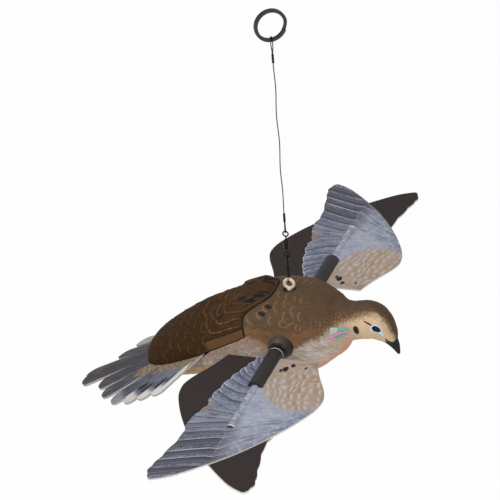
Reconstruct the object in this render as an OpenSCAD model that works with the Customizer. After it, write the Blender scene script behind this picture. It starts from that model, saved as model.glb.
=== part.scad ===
// Hanging dove decoy whose wings are spun by a motor in the body.
// Millimetres, +Z up, +X toward the head, +Y toward the bird's left.
// The origin is the centre of the split ring that the decoy hangs from.

/* [Hanger] */
// Outer diameter of the split ring
ring_od = 26; // [22:0.5:30]
// Width of the split ring's flat wire
ring_band = 2.6; // [2:0.1:3.2]
// Thickness of the split ring's flat wire
ring_wire = 1; // [0.8:0.1:1.4]
// Gap between the two turns of the split ring
ring_turn_gap = 0.5; // [0.42:0.02:0.8]
// Turn of the split ring about the line
ring_turn = 37; // [0:1:90]
// Length of the hanging line between its crimps
line_len = 128; // [100:1:200]
// Diameter of the hanging line
line_d = 0.8; // [0.7:0.1:1]
// Diameter of the leader under the swivel
leader_d = 0.8; // [0.7:0.1:1]
// Thickness of a crimp sleeve
crimp_d = 1.6; // [1.4:0.1:2]
// Length of a crimp sleeve
crimp_len = 7; // [5:0.5:9]
// Drop from the split ring to the upper crimp
ring_tie = 10.5; // [9:0.5:14]
// Drop from the lower crimp to the swivel's upper eye
swivel_tie = 10.6; // [9:0.2:14]
// Drop from the swivel's lower eye to the leader's knot
leader_upper = 11; // [9:0.5:14]
// Drop from the leader's knot to the eye screw's centre
leader_lower = 12; // [11:0.5:16]
// Diameter of the leader's knot
knot_d = 2; // [1.8:0.1:2.6]
// Length of the leader's knot
knot_len = 3.5; // [2.5:0.5:5]

/* [Swivel] */
// Outer diameter of the swivel's barrel
barrel_d = 4.2; // [4:0.1:5]
// Length of the swivel's barrel
barrel_len = 7.4; // [6.5:0.1:9]
// Outer diameter of a swivel eye
swivel_eye_od = 5.4; // [5:0.1:6.5]
// Wire diameter of a swivel eye
swivel_wire = 1.1; // [0.9:0.1:1.3]
// Distance from the barrel's middle to an eye's centre
swivel_reach = 9; // [8.5:0.1:11]

/* [Eye screw] */
// Outer diameter of the eye
eye_od = 10.3; // [9.8:0.1:11.8]
// Wire diameter of the eye
eye_wire = 2.7; // [2.5:0.1:3]
// Diameter of the eye's shank
eye_shank_d = 4; // [3:0.5:5]
// Height of the eye's seat above the wing shaft
eye_seat_z = 27; // [26.5:0.5:28]
// Diameter of the flange nut
flange_d = 9.6; // [8:0.2:11]
// Height of the flange nut
flange_h = 2.8; // [2.2:0.2:3.2]
// Wall left between the two nuts
eye_wall = 2.2; // [1.8:0.2:2.6]
// Diameter of the boss under the eye
eye_boss_d = 14; // [13:0.5:15]
// Distance across the lock nut's flats
lock_nut_af = 7; // [6:0.5:8]
// Height of the lock nut
lock_nut_h = 3.2; // [2.4:0.2:4]
// Distance from the hanging line forward to the wing shaft
shaft_x = 3; // [1:0.5:6]

/* [Body] */
// Nose-up angle of the seam plane as the decoy hangs
body_pitch = 28; // [24:1:32]
// Wall of the body shell
body_wall = 2.6; // [2.4:0.1:3]
// Wall of the back cover
cover_wall = 1.8; // [1.6:0.1:2.2]
// Gap round the edge of the back cover
seam_gap = 0.4; // [0.3:0.05:0.8]
// Height of the seam over the wing shaft
seam_z = 18.75; // [18:0.25:19.5]
// Depth of the motor well under the wing shaft
well_drop = 18; // [17:0.5:21]
// Depth of the battery floor under the wing shaft
battery_drop = 5.5; // [4:0.5:6]

/* [Tail] */
// Length of the tail from the fan's centre
tail_len = 164; // [150:1:178]
// Thickness of the tail sheet
tail_t = 1.4; // [1.2:0.1:1.8]
// Droop of each half of the tail
tail_droop = 6; // [4:0.5:8]
// Height of the tail's ridge over the wing shaft
tail_ridge_z = 21; // [20.6:0.1:21.4]
// Half width of a tail feather at its tip
feather_r = 8; // [7:0.5:10]
// Diameter of a tail screw
tail_screw_d = 3; // [2.5:0.5:3.5]
// Diameter of the boss under a tail screw
tail_boss_d = 7; // [6:0.5:8]

/* [Balance weight] */
// Diameter of the breast weight's rear end
weight_d = 31; // [28:0.5:31]
// Diameter of the breast weight's front end
weight_tip_d = 15.5; // [14:0.5:16]
// Length of the weight in the breast
weight_len = 26; // [22:1:26]

/* [Drive] */
// Diameter of the drive shaft
shaft_d = 4; // [3:0.5:5]
// Clearance round the turning shaft
shaft_clearance = 0.05; // [0.02:0.01:0.08]
// Radius of a bearing dome
dome_r = 10.3; // [9:0.1:11.5]
// Depth of a dome's centre under the body's side
dome_sink = 1.2; // [0.8:0.1:1.6]
// Length of a dome's nose
nose_len = 2.2; // [1.6:0.2:4]
// Diameter of a bearing bush
bush_d = 7; // [6.2:0.2:8]
// Thickness of a thrust washer
washer_t = 0.6; // [0.4:0.1:1]
// Gap between a dome's nose and its washer
run_gap = 0.3; // [0.3:0.05:0.6]
// Diameter of the motor can
motor_d = 27; // [24:0.5:30]
// Length of the motor can
motor_len = 44; // [36:1:48]
// Length of a motor end cap
motor_cap_len = 4; // [3:0.5:5]

/* [Wings] */
// Length of a wing panel from its root to its tip
wing_len = 178; // [165:1:190]
// Depth of a wing panel from front to back
wing_chord = 96; // [90:1:102]
// Outer diameter of a wing sleeve
sleeve_d = 12.6; // [11:0.2:14]
// Length of a wing sleeve
sleeve_len = 50.4; // [44:0.4:56]
// Length of a sleeve's closed root
sleeve_root = 6.4; // [6:0.2:9]
// Depth of the drive shaft in a sleeve
shaft_grip = 5; // [4:0.5:5.5]
// Diameter of a wing rod
rod_d = 5; // [4:0.2:5.4]
// Thickness of a wing panel
panel_t = 1.4; // [1:0.1:1.8]
// Wall of the ridge that covers the rod
ridge_wall = 0.9; // [0.7:0.1:1.1]
// Length of the ridge from the wing's root
ridge_len = 102; // [90:1:110]
// Length of the rod hidden short of the ridge's end
rod_stop = 2; // [1:0.5:4]
// Bulge of a secondary feather's end on the trailing edge
scallop = 1.6; // [0.8:0.2:2.4]
// Bulge of a primary feather's end on the trailing edge
primary_scallop = 0.9; // [0.4:0.1:1.4]

/* [Battery and switch] */
// Diameter of a battery cell
cell_d = 14.2; // [13:0.2:14.4]
// Length of a battery cell
cell_len = 49.5; // [44:0.5:50]
// Wall of the battery box
box_wall = 1.6; // [1.2:0.2:2]
// Length of the contact at each end of the cells
contact_len = 1.4; // [1:0.2:2]
// Travel of the switch's slider
switch_travel = 4; // [3:0.5:5]

/* [Hidden] */
$fn = 64;

// Small lap that lets a cut pass a face
lap = 1;

// Chain of heights from the split ring down to the wing shaft
ring_mid_r = (ring_od - ring_band) / 2;
ring_pitch = ring_wire + ring_turn_gap;
ring_depth = ring_pitch + ring_wire;
// Turn over which the ring's wire steps across, and the turn from there to each of its ends
ring_step_turn = 40;
ring_end_turn = 6;
upper_crimp_z = -ring_od / 2 - ring_tie;
line_top_z = upper_crimp_z - crimp_len;
// Sideways places of the line under the upper crimp, and how far down each is in percent
line_bends = [
    [0, 0, 0], [0, 0, 3], [0.5, 0.2, 17], [-0.3, -0.2, 34], [0.4, 0.3, 52],
    [-0.4, 0, 69], [0.3, -0.2, 84], [0, 0, 97], [0, 0, 100]
];
line_route = [for (b = line_bends) [b[0], b[1], -line_len * b[2] / 100]];
lower_crimp_z = line_top_z - line_len;
swivel_upper_z = lower_crimp_z - crimp_len - swivel_tie;
barrel_z = swivel_upper_z - swivel_reach;
swivel_lower_z = barrel_z - swivel_reach;
knot_z = swivel_lower_z - leader_upper;
eye_z = knot_z - knot_len - leader_lower;
shaft_z = eye_z - eye_od / 2 - flange_h - eye_seat_z;
eye_mid_r = (eye_od - eye_wire) / 2;
swivel_mid_r = (swivel_eye_od - swivel_wire) / 2;

// Air between a cord and the wire that it loops round
loop_air = 0.2;
// Sides of a cord's tube and turns of its bend
cord_sides = 8;
bend_steps = 9;

// Sections of the body in the seam's frame, from the tail end to the bill's tip
// Each row: forward, up, half width, rise of the back, drop of the belly, squareness of the back
body_stations = [
    [-130.5, 13.75, 14, 11.5, 4, 2.4],
    [-125, 13.25, 22, 18, 6, 2.5],
    [-111, 12.75, 31, 23.5, 10, 2.6],
    [-79, 12.75, 39, 27.5, 20, 2.8],
    [-45, 11.25, 42, 27.5, 31, 3],
    [-14, 6.25, 41, 29, 38, 3],
    [14, -3.75, 37, 27, 38.25, 2.8],
    [32.75, -10.75, 27, 19.5, 27, 2.3],
    [43.75, -13.75, 18, 12.5, 17, 2],
    [59.5, -20.25, 15.5, 14, 14.75, 2],
    [65, -26.75, 14, 11.25, 15.25, 2],
    [67, -36.75, 9, 8, 8.5, 2],
    [67, -43.75, 5, 4.5, 4.5, 2],
    [67, -49.25, 3, 3, 2.8, 2],
    [66, -56.25, 0.7, 0.7, 0.7, 2]
];
belly_square = 2.2;
last_station = len(body_stations) - 1;

// Front edge of the cover, in stations, and how far its sides sweep back
seam_front = 5.2;
seam_sweep = 0.53;
sweep_reach = 1.8;
sweep_start = 5;
sweep_end = 45;

// Cells of the body's grid
rear_cells = 18;
front_cells = 22;
cavity_cells = 4;
up_cells = 18;
low_cells = 18;
rows = up_cells + low_cells;
// Columns where the tail's sheet, the tail's edge and the battery floor end
sheet_column = 8;
tail_column = 12;
battery_column = 17;
columns = concat(
    [for (i = [0:rear_cells - 1]) seam_front * i / rear_cells],
    [for (i = [0:front_cells]) seam_front + (last_station - seam_front) * i / front_cells]
);
last_column = rear_cells + front_cells;
cavity_column = rear_cells + cavity_cells;

tail_slope = tan(tail_droop);
// The body's side where the wing shaft leaves it
shaft_station = 5 - body_stations[5][0] / (body_stations[6][0] - body_stations[5][0]);
side_y = station(shaft_station)[2];

// Places along the wing shaft
dome_y = side_y - dome_sink;
dome_base_y = side_y - body_wall - 2;
nose_y = dome_y + dome_r + nose_len;
nose_d = sleeve_d;
washer_y = nose_y + run_gap;
sleeve_y = washer_y + washer_t;
sleeve_end_y = sleeve_y + sleeve_len;
wing_y = sleeve_y + sleeve_root;
shaft_end_y = sleeve_y + shaft_grip;
shaft_bore_d = shaft_d + 2 * shaft_clearance;
ridge_r = rod_d / 2 + ridge_wall;

// Leading edge and trailing runs of a wing panel, in percent of its length and of its depth ahead of the shaft
leading_shape = [[0, 38], [10, 45], [22.5, 56], [30.5, 58.5], [40.5, 54], [57.5, 38], [77, 12.5], [94.5, -19], [100, -35.5]];
primary_shape = [[100, -37.5], [94, -41.5], [83.5, -38], [67, -33], [56, -34.5], [45, -29.5], [41.5, -26.5]];
secondary_shape = [[41.5, -26.5], [36, -28.5], [20, -23], [9, -16], [0, -10]];
function on_wing(shape) = [for (p = shape) [p[0] * wing_len, p[1] * wing_chord] / 100];
leading_edge = on_wing(leading_shape);
primary_run = on_wing(primary_shape);
secondary_run = on_wing(secondary_shape);
primary_count = 9;
secondary_count = 8;
edge_steps = 5;
scallop_steps = 6;

// Tail feathers: angle from the middle, and length in percent of the tail's
fan_x = -39;
feather_angles = [2, 10, 18.5, 28.5, 36, 42, 49];
feather_shares = [100, 86, 82.5, 77.5, 71.5, 65.5, 60];
feather_lengths = tail_len / 100 * feather_shares;
feather_root_r = 5;
tail_front_x = station(columns[tail_column])[0] - 0.5;
tail_rest = 0.3;
screw_station = body_stations[2];
tail_screw_x = screw_station[0];
tail_screw_y = 9;
tail_screw_len = 8;
tail_boss_len = tail_seat(tail_screw_y) - screw_station[1] + screw_station[4] - body_wall / 2;
tail_lip = 8;
tail_sheet_x = tail_screw_x + tail_lip;
screw_head_h = 1.6;

// Balance weight ahead of the motor well
weight_x = station(columns[cavity_column])[0] + lap;
weight_sink = 0.75;
// Bore behind the weight, to put it in from the motor well
weight_bore = 8.5;
weight_z = body_stations[8][1] - weight_sink;

// Motor mount in the well
cradle_ear = 8;
cradle_half_x = motor_d / 2 + cradle_ear;
cradle_half_y = 15;
cradle_chamfer = 4.5;
clamp_z = -3;
clamp_t = 2;
clamp_screw_d = 3;
clamp_screw_len = 10;
clamp_screw_y = 9;
clamp_screw_x = cradle_half_x - clamp_screw_d;

// Battery box on its floor, close behind the motor
box_air = 2.5;
cell_gap = 0.3;
cell_pitch = cell_d + cell_gap;
box_inner = [2 * cell_pitch + cell_gap, cell_len + 2 * contact_len];
box_size = [box_inner[0] + 2 * box_wall, box_inner[1] + 2 * box_wall, box_wall + cell_d + cell_gap];
box_x = -cradle_half_x - box_air - box_size[0] / 2;
cell_z = -battery_drop + box_wall + cell_d / 2;

// Slide switch on a ledge behind the battery box
switch_size = [9, 22, 7];
switch_wall = 1.2;
ledge_t = 3;
switch_x = box_x - (box_size[0] + switch_size[0]) / 2;
switch_z = -battery_drop + box_size[2] - switch_size[2];
knob_size = [4, 6, 7];
knob_air = 0.3;

// One span of a curve through its points, with f from 0 to 1 between b and c
function spline(a, b, c, d, f) =
    0.5 * (2 * b + (c - a) * f + (2 * a - 5 * b + 4 * c - d) * f ^ 2 + (3 * b - a - 3 * c + d) * f ^ 3);
function pick(list, i) = list[max(0, min(len(list) - 1, i))];
function along(list, t) =
    let (i = min(floor(t), len(list) - 2))
    spline(pick(list, i - 1), pick(list, i), pick(list, i + 1), pick(list, i + 2), t - i);
function smooth(f) = let (g = max(0, min(1, f))) g * g * (3 - 2 * g);

// Body section at a station, and the tilt of the spine there
function station(t) = along(body_stations, max(0, min(last_station, t)));
function tilt(t) =
    let (d = station(t + 0.01) - station(t - 0.01))
    atan2(d[1], d[0]);
function squared(v, n) = sign(v) * pow(abs(v), 2 / n);

// Point of the body's skin at a station and an angle from the back, set in by a wall
function skin(t, a, inset) =
    let (
        s = station(t),
        back = cos(a) > 0,
        n = back ? s[5] : belly_square,
        rise = (back ? s[3] : s[4]) - inset,
        lift = max(rise, 0.1) * squared(cos(a), n),
        side = max(s[2] - inset, 0.1) * squared(sin(a), n)
    )
    [s[0] - sin(tilt(t)) * lift, side, s[1] + cos(tilt(t)) * lift];

// Angle from the back at which a section reaches a height
function rim_angle(t, z) =
    let (s = station(t), rise = (z - s[1]) / cos(tilt(t)))
    rise > 0 ? acos(min(1, pow(rise / s[3], s[5] / 2)))
             : 180 - acos(min(1, pow(-rise / s[4], belly_square / 2)));

// Columns lean back round the cover's front edge
function pull(t) = seam_sweep * max(0, 1 - abs(t - seam_front) / sweep_reach);
function side_t(i) = columns[i] - pull(columns[i]);
function swept(t, a) =
    let (b = abs(a > 180 ? 360 - a : a))
    t - pull(t) * smooth((b - sweep_start) / (sweep_end - sweep_start));

// Underside of the tail, which is also its seat on the body
function tail_seat(y) = tail_ridge_z - tail_slope * abs(y);
function rim_z(i) = i <= tail_column ? tail_seat(station(side_t(i))[2]) : seam_z;
function shell_rim(i) =
    let (c = min(i, rear_cells))
    rim_angle(side_t(c), rim_z(c));
function shell_angle(i, j) =
    let (rim = shell_rim(i))
    j <= up_cells ? -rim + 2 * rim * j / up_cells : rim + (360 - 2 * rim) * (j - up_cells) / low_cells;
function on_rim(i, j) = i <= rear_cells && (j == 0 || j == up_cells);

function shell_outer(i, j) =
    let (a = shell_angle(i, j), p = skin(swept(columns[i], a), a, 0))
    on_rim(i, j) ? rim_point(i, p) : p;
function rim_point(i, p) = [p[0], p[1], i <= tail_column ? tail_seat(p[1]) : seam_z];
function shell_inner(i, j) =
    let (a = shell_angle(i, j), p = skin(swept(columns[i], a), a, body_wall))
    on_rim(i, j) ? rim_point(i, p)
    : [p[0], p[1], max(p[2], i <= battery_column ? -battery_drop : -well_drop)];

function quad(a, b, c, d) = [[a, b, c], [a, c, d]];
function fold(lists) = [for (l = lists) for (e = l) e];

// Cover grid, with its edge lifted off the shell and the tail
function over_rim(i) = seam_gap + (i <= tail_column ? tail_t / cos(tail_droop) : 0);
function cover_t(i) =
    i < rear_cells ? columns[i] : seam_front - seam_gap / norm(station(seam_front) - station(seam_front - 1));
function cover_point(i, j, inset) =
    let (
        rim = rim_angle(cover_t(i) - pull(cover_t(i)), rim_z(i) + over_rim(i)),
        a = -rim + 2 * rim * j / up_cells,
        p = skin(swept(cover_t(i), a), a, inset),
        low = rim_point(i, p) + [0, 0, over_rim(i)]
    )
    j == 0 || j == up_cells || p[2] < low[2] ? low : p;

// Tube along a route, with its sides set out from a fixed direction across the route
function unit(v) = v / norm(v);
function heading(route, i) = unit(pick(route, i + 1) - pick(route, i - 1));
function tube_points(route, d, across) = [
    for (i = [0:len(route) - 1])
        let (h = heading(route, i), u = unit(across - (across * h) * h), v = cross(h, u))
        for (k = [0:cord_sides - 1])
            route[i] + d / 2 * (cos(360 * k / cord_sides) * u + sin(360 * k / cord_sides) * v)
];
function tube_faces(rings, sides) = concat(
    [[for (k = [0:sides - 1]) k]],
    fold([for (i = [0:rings - 2]) for (k = [0:sides - 1])
        let (a = i * sides, b = a + sides, m = (k + 1) % sides)
        quad(a + k, b + k, b + m, a + m)]),
    [[for (k = [sides - 1:-1:0]) (rings - 1) * sides + k]]
);

// Route of a cord from one end up round a wire and back, in its own plane
function loop_route(wire_r, drop, d) =
    let (bend = wire_r + d / 2 + loop_air, foot = d / 2 + 0.1)
    concat(
        [[-foot, 0, -drop], [-foot, 0, -drop + d]],
        [for (k = [0:bend_steps]) let (a = 190 - 200 * k / bend_steps) bend * [cos(a), 0, sin(a)]],
        [[foot, 0, -drop + d], [foot, 0, -drop]]
    );

module at_shaft() {
    translate([shaft_x, 0, shaft_z]) children();
}

module in_body() {
    at_shaft() rotate([0, -body_pitch, 0]) children();
}

// Side of the bird: 1 is left, -1 is right
module on_side(side) {
    at_shaft() mirror([0, side < 0 ? 1 : 0, 0]) children();
}

// Round bar along the wing shaft from one place to another
module bar(d, from, to) {
    translate([0, from, 0]) rotate([-90, 0, 0]) cylinder(d = d, h = to - from);
}

module tube(route, d) {
    polyhedron(tube_points(route, d, [0, 1, 0]), tube_faces(len(route), cord_sides), convexity = 6);
}

module wire_eye(od, wire) {
    rotate([90, 0, 0]) rotate_extrude() translate([(od - wire) / 2, 0]) circle(d = wire);
}

module crimp() {
    linear_extrude(crimp_len) {
        for (x = [-1, 1]) translate([x * line_d * 0.6, 0]) circle(d = crimp_d);
        square([line_d * 1.2, crimp_d], center = true);
    }
}

// Height of the split ring's wire after a turn of a degrees, which steps from one level to the other
function ring_level(a) = ring_pitch * (smooth((a - 360) / ring_step_turn + 0.5) - 0.5);

module split_ring() {
    steps = 96;
    start = ring_step_turn / 2 + ring_end_turn;
    corners = [[-1, -1], [1, -1], [1, 1], [-1, 1]];
    points = [for (i = [0:steps]) for (c = corners)
        let (a = start + (720 - 2 * start) * i / steps, r = ring_mid_r + c[0] * ring_band / 2)
        [r * cos(a), r * sin(a), ring_level(a) + c[1] * ring_wire / 2]];
    color("#4a4441") rotate([0, 0, ring_turn]) rotate([90, 0, 0])
        polyhedron(points, tube_faces(steps + 1, len(corners)), convexity = 6);
}

module line_top_loop() {
    color("#1d1b1b") translate([0, 0, -ring_mid_r]) rotate([0, 0, ring_turn - 90])
        tube(loop_route(norm([ring_band, ring_depth]) / 2, -ring_mid_r - upper_crimp_z, line_d), line_d);
}

module upper_crimp() {
    color("#2a2726") translate([0, 0, line_top_z]) rotate([0, 0, ring_turn - 90]) crimp();
}

module hang_line() {
    color("#1d1b1b") translate([0, 0, line_top_z])
        tube([for (t = [0:0.25:len(line_route) - 1]) along(line_route, t)], line_d);
}

module lower_crimp() {
    color("#2a2726") translate([0, 0, lower_crimp_z - crimp_len]) rotate([0, 0, 90]) crimp();
}

module line_bottom_loop() {
    drop = lower_crimp_z - crimp_len - swivel_upper_z - swivel_mid_r;
    color("#1d1b1b") translate([0, 0, swivel_upper_z + swivel_mid_r]) rotate([180, 0, 90])
        tube(loop_route(swivel_wire / 2, drop, line_d), line_d);
}

// Wire eye whose shank turns in the barrel and is headed inside it
module swivel_eye() {
    head_z = swivel_reach - barrel_len / 2 + 1.2;
    wire_eye(swivel_eye_od, swivel_wire);
    translate([0, 0, -head_z]) cylinder(d = swivel_wire, h = head_z - swivel_mid_r);
    translate([0, 0, -head_z - 0.8]) cylinder(d = swivel_wire + 0.9, h = 0.8);
}

module swivel_upper_eye() {
    color("#2b2827") translate([0, 0, swivel_upper_z]) swivel_eye();
}

module swivel_lower_eye() {
    color("#2b2827") translate([0, 0, swivel_lower_z]) rotate([180, 0, 0]) swivel_eye();
}

module swivel_barrel() {
    end_d = barrel_d * 0.7;
    taper = 1.1;
    core_d = swivel_wire + 1.5;
    end_wall = 0.9;
    color("#2b2827") translate([0, 0, barrel_z]) difference() {
        union() {
            translate([0, 0, -barrel_len / 2]) cylinder(d1 = end_d, d2 = barrel_d, h = taper);
            cylinder(d = barrel_d, h = barrel_len - 2 * taper, center = true);
            translate([0, 0, barrel_len / 2 - taper]) cylinder(d1 = barrel_d, d2 = end_d, h = taper);
        }
        cylinder(d = core_d, h = barrel_len - 2 * end_wall, center = true);
        cylinder(d = swivel_wire + 2 * shaft_clearance, h = barrel_len + lap, center = true);
    }
}

module leader_top_loop() {
    drop = leader_upper - swivel_mid_r;
    color("#1d1b1b") translate([0, 0, swivel_lower_z - swivel_mid_r]) rotate([0, 0, 90])
        tube(loop_route(swivel_wire / 2, drop, leader_d), leader_d);
}

module leader_knot() {
    color("#1d1b1b") translate([0, 0, knot_z - knot_len]) rotate_extrude()
        polygon([[0, 0], [knot_d * 0.4, 0], [knot_d / 2, knot_len / 3], [knot_d / 2, knot_len * 2 / 3],
            [knot_d * 0.4, knot_len], [0, knot_len]]);
}

module leader_bottom_loop() {
    drop = leader_lower - eye_mid_r;
    color("#1d1b1b") translate([0, 0, eye_z + eye_mid_r]) rotate([180, 0, 90])
        tube(loop_route(eye_wire / 2, drop, leader_d), leader_d);
}

module eye_screw() {
    shank_len = eye_mid_r + eye_wire / 2 + flange_h + eye_wall + lock_nut_h + 1.5;
    color("#d9c6b0") translate([0, 0, eye_z]) {
        wire_eye(eye_od, eye_wire);
        translate([0, 0, -shank_len]) cylinder(d = eye_shank_d, h = shank_len - eye_mid_r);
    }
}

module eye_flange_nut() {
    hub_d = flange_d * 0.7;
    color("#1f1d1d") translate([0, 0, shaft_z + eye_seat_z]) difference() {
        union() {
            cylinder(d = flange_d, h = flange_h * 0.5);
            cylinder(d = hub_d, h = flange_h);
        }
        translate([0, 0, -lap]) cylinder(d = eye_shank_d, h = flange_h + 2 * lap);
        translate([0, 0, eye_od / 2 + flange_h]) wire_eye(eye_od, eye_wire);
    }
}

module eye_lock_nut() {
    color("#8d8d8d") translate([0, 0, shaft_z + eye_seat_z - eye_wall - lock_nut_h]) difference() {
        cylinder(d = lock_nut_af / cos(30), h = lock_nut_h, $fn = 6);
        translate([0, 0, -lap]) cylinder(d = eye_shank_d, h = lock_nut_h + 2 * lap);
    }
}

module shell_solid() {
    outer = [for (i = [0:last_column]) for (j = [0:rows - 1]) shell_outer(i, j)];
    inner = [for (i = [0:cavity_column]) for (j = [0:rows - 1]) shell_inner(i, j)];
    base = len(outer);
    tip = base + len(inner);
    front = tip + 1;
    function o(i, j) = i * rows + j % rows;
    function n(i, j) = base + i * rows + j % rows;
    function kept(i, j) = i >= rear_cells || j >= up_cells;
    faces = concat(
        fold([for (i = [0:last_column - 1]) for (j = [0:rows - 1]) if (kept(i, j))
            quad(o(i, j), o(i, j + 1), o(i + 1, j + 1), o(i + 1, j))]),
        fold([for (i = [0:cavity_column - 1]) for (j = [0:rows - 1]) if (kept(i, j))
            quad(n(i, j), n(i + 1, j), n(i + 1, j + 1), n(i, j + 1))]),
        fold([for (i = [0:rear_cells - 1])
            concat(quad(o(i, 0), n(i, 0), n(i + 1, 0), o(i + 1, 0)),
                quad(o(i, up_cells), o(i + 1, up_cells), n(i + 1, up_cells), n(i, up_cells)))]),
        fold([for (j = [0:up_cells - 1])
            quad(o(rear_cells, j), n(rear_cells, j), n(rear_cells, j + 1), o(rear_cells, j + 1))]),
        fold([for (j = [up_cells:rows - 1]) quad(o(0, j), n(0, j), n(0, j + 1), o(0, j + 1))]),
        [for (j = [0:rows - 1]) [o(last_column, j), o(last_column, j + 1), tip]],
        [for (j = [0:rows - 1]) [n(cavity_column, j + 1), n(cavity_column, j), front]]
    );
    ends = [station(last_station), station(columns[cavity_column])];
    polyhedron(concat(outer, inner, [for (e = ends) [e[0], 0, e[1]]]), faces, convexity = 10);
}

module body_shell() {
    color("#8a6a48") difference() {
        union() {
            in_body() shell_solid();
            in_body() tail_screw_bars(tail_boss_d, tail_boss_len, 0);
            translate([0, 0, shaft_z + eye_seat_z - eye_wall]) cylinder(d = eye_boss_d, h = eye_wall + lap);
        }
        at_shaft() bar(2 * dome_r, -side_y - 2 * lap, side_y + 2 * lap);
        translate([0, 0, shaft_z]) {
            translate([0, 0, eye_seat_z]) cylinder(d = flange_d + 2 * seam_gap, h = 4 * lap);
            translate([0, 0, eye_seat_z - eye_wall - lock_nut_h - 2 * lap])
                cylinder(d = lock_nut_af / cos(30) + 2 * seam_gap, h = lock_nut_h + 2 * lap);
            cylinder(d = eye_shank_d, h = eye_seat_z + lap);
        }
        in_body() {
            tail_screw_bars(tail_screw_d, tail_screw_len, lap);
            weight_plug(weight_bore);
        }
    }
}

// Tapered weight ahead of the motor well, with a straight bore behind it
module weight_plug(bore) {
    translate([weight_x, 0, weight_z]) rotate([0, 90, 0]) {
        cylinder(d1 = weight_d, d2 = weight_tip_d, h = weight_len);
        if (bore > 0) translate([0, 0, -bore]) cylinder(d = weight_d, h = bore);
    }
}

module nose_weight() {
    color("#a58a4f") in_body() weight_plug(0);
}

module cover_solid() {
    span = up_cells + 1;
    outer = [for (i = [0:rear_cells]) for (j = [0:up_cells]) cover_point(i, j, 0)];
    inner = [for (i = [0:rear_cells]) for (j = [0:up_cells]) cover_point(i, j, cover_wall)];
    base = len(outer);
    function o(i, j) = i * span + j;
    function n(i, j) = base + i * span + j;
    faces = concat(
        fold([for (i = [0:rear_cells - 1]) for (j = [0:up_cells - 1]) concat(
            quad(o(i, j), o(i, j + 1), o(i + 1, j + 1), o(i + 1, j)),
            quad(n(i, j), n(i + 1, j), n(i + 1, j + 1), n(i, j + 1)))]),
        fold([for (i = [0:rear_cells - 1]) concat(
            quad(o(i, 0), o(i + 1, 0), n(i + 1, 0), n(i, 0)),
            quad(o(i, up_cells), n(i, up_cells), n(i + 1, up_cells), o(i + 1, up_cells)))]),
        fold([for (j = [0:up_cells - 1]) concat(
            quad(o(rear_cells, j), o(rear_cells, j + 1), n(rear_cells, j + 1), n(rear_cells, j)),
            quad(o(0, j), n(0, j), n(0, j + 1), o(0, j + 1)))])
    );
    polyhedron(concat(outer, inner), faces, convexity = 10);
}

module back_cover() {
    color("#3f2c1c") in_body() cover_solid();
}

// Screws stand square to each half of the tail
module tail_screw_bars(d, depth, rise) {
    for (s = [-1, 1])
        translate([tail_screw_x, 0, tail_ridge_z]) rotate([-s * tail_droop, 0, 0])
            translate([0, s * tail_screw_y, -depth]) cylinder(d = d, h = depth + rise);
}

module feather(length) {
    polygon([[0, -feather_root_r], [length - feather_r, -feather_r], [length - feather_r, feather_r],
        [0, feather_root_r]]);
    translate([length - feather_r, 0]) circle(r = feather_r);
}

// Half of the fan, in the plane of its sheet, cut back to the body's rim
module half_fan() {
    reach = feather_lengths[0] + feather_r;
    inner_rim = [for (i = [sheet_column:tail_column])
        let (s = station(columns[i]))
        [s[0], s[2] - body_wall + tail_rest]];
    difference() {
        translate([fan_x, 0]) for (k = [0:len(feather_angles) - 1])
            rotate(180 - feather_angles[k]) feather(feather_lengths[k]);
        translate([fan_x - reach, -reach - lap / 2]) square([2 * reach, reach]);
        translate([tail_front_x, -reach]) square([reach, 2 * reach]);
        polygon(concat([[tail_sheet_x, -lap], [tail_sheet_x, inner_rim[0][1]]], inner_rim,
            [[0, inner_rim[len(inner_rim) - 1][1]], [0, -lap]]));
    }
}

module tail_fan() {
    color("#6a6a78") in_body() difference() {
        translate([0, 0, tail_ridge_z]) for (s = [0, 1]) mirror([0, s, 0])
            rotate([-tail_droop, 0, 0]) linear_extrude(tail_t) half_fan();
        tail_screw_bars(tail_screw_d, lap, tail_t + lap);
    }
}

module tail_screws() {
    color("#8d8d8d") in_body() {
        tail_screw_bars(tail_screw_d, tail_screw_len, tail_t);
        for (s = [-1, 1])
            translate([tail_screw_x, 0, tail_ridge_z]) rotate([-s * tail_droop, 0, 0])
                translate([0, s * tail_screw_y, tail_t])
                    cylinder(d1 = 2 * tail_screw_d, d2 = 1.4 * tail_screw_d, h = screw_head_h);
    }
}

module bearing_dome(side) {
    color("#55504b") on_side(side) difference() {
        union() {
            bar(2 * dome_r, dome_base_y, dome_y);
            intersection() {
                translate([0, dome_y, 0]) sphere(r = dome_r);
                bar(2 * dome_r + lap, dome_y, dome_y + dome_r + lap);
            }
            bar(nose_d, dome_y, nose_y);
        }
        bar(bush_d, dome_base_y - lap, nose_y + lap);
    }
}

module bush(side) {
    flange_t = 1.2;
    color("#a8894f") on_side(side) difference() {
        union() {
            bar(bush_d, dome_base_y, nose_y);
            bar(bush_d + 4, dome_base_y - flange_t, dome_base_y);
        }
        bar(shaft_bore_d, dome_base_y - flange_t - lap, nose_y + lap);
    }
}

module motor_can() {
    color("#b9bcc0") at_shaft() difference() {
        bar(motor_d, -motor_len / 2, motor_len / 2);
        bar(shaft_bore_d, -motor_len / 2 - lap, motor_len / 2 + lap);
    }
}

module motor_cap(side) {
    boss_d = shaft_d + 5;
    boss_len = 1.5;
    color("#22262b") on_side(side) difference() {
        union() {
            bar(motor_d - 4, motor_len / 2, motor_len / 2 + motor_cap_len);
            bar(boss_d, motor_len / 2, motor_len / 2 + motor_cap_len + boss_len);
        }
        bar(shaft_bore_d, motor_len / 2 - lap, motor_len / 2 + motor_cap_len + boss_len + lap);
    }
}

module clamp_screw_bars(d, from, to) {
    for (x = [-1, 1]) for (y = [-1, 1])
        translate([x * clamp_screw_x, y * clamp_screw_y, from]) cylinder(d = d, h = to - from);
}

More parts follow.
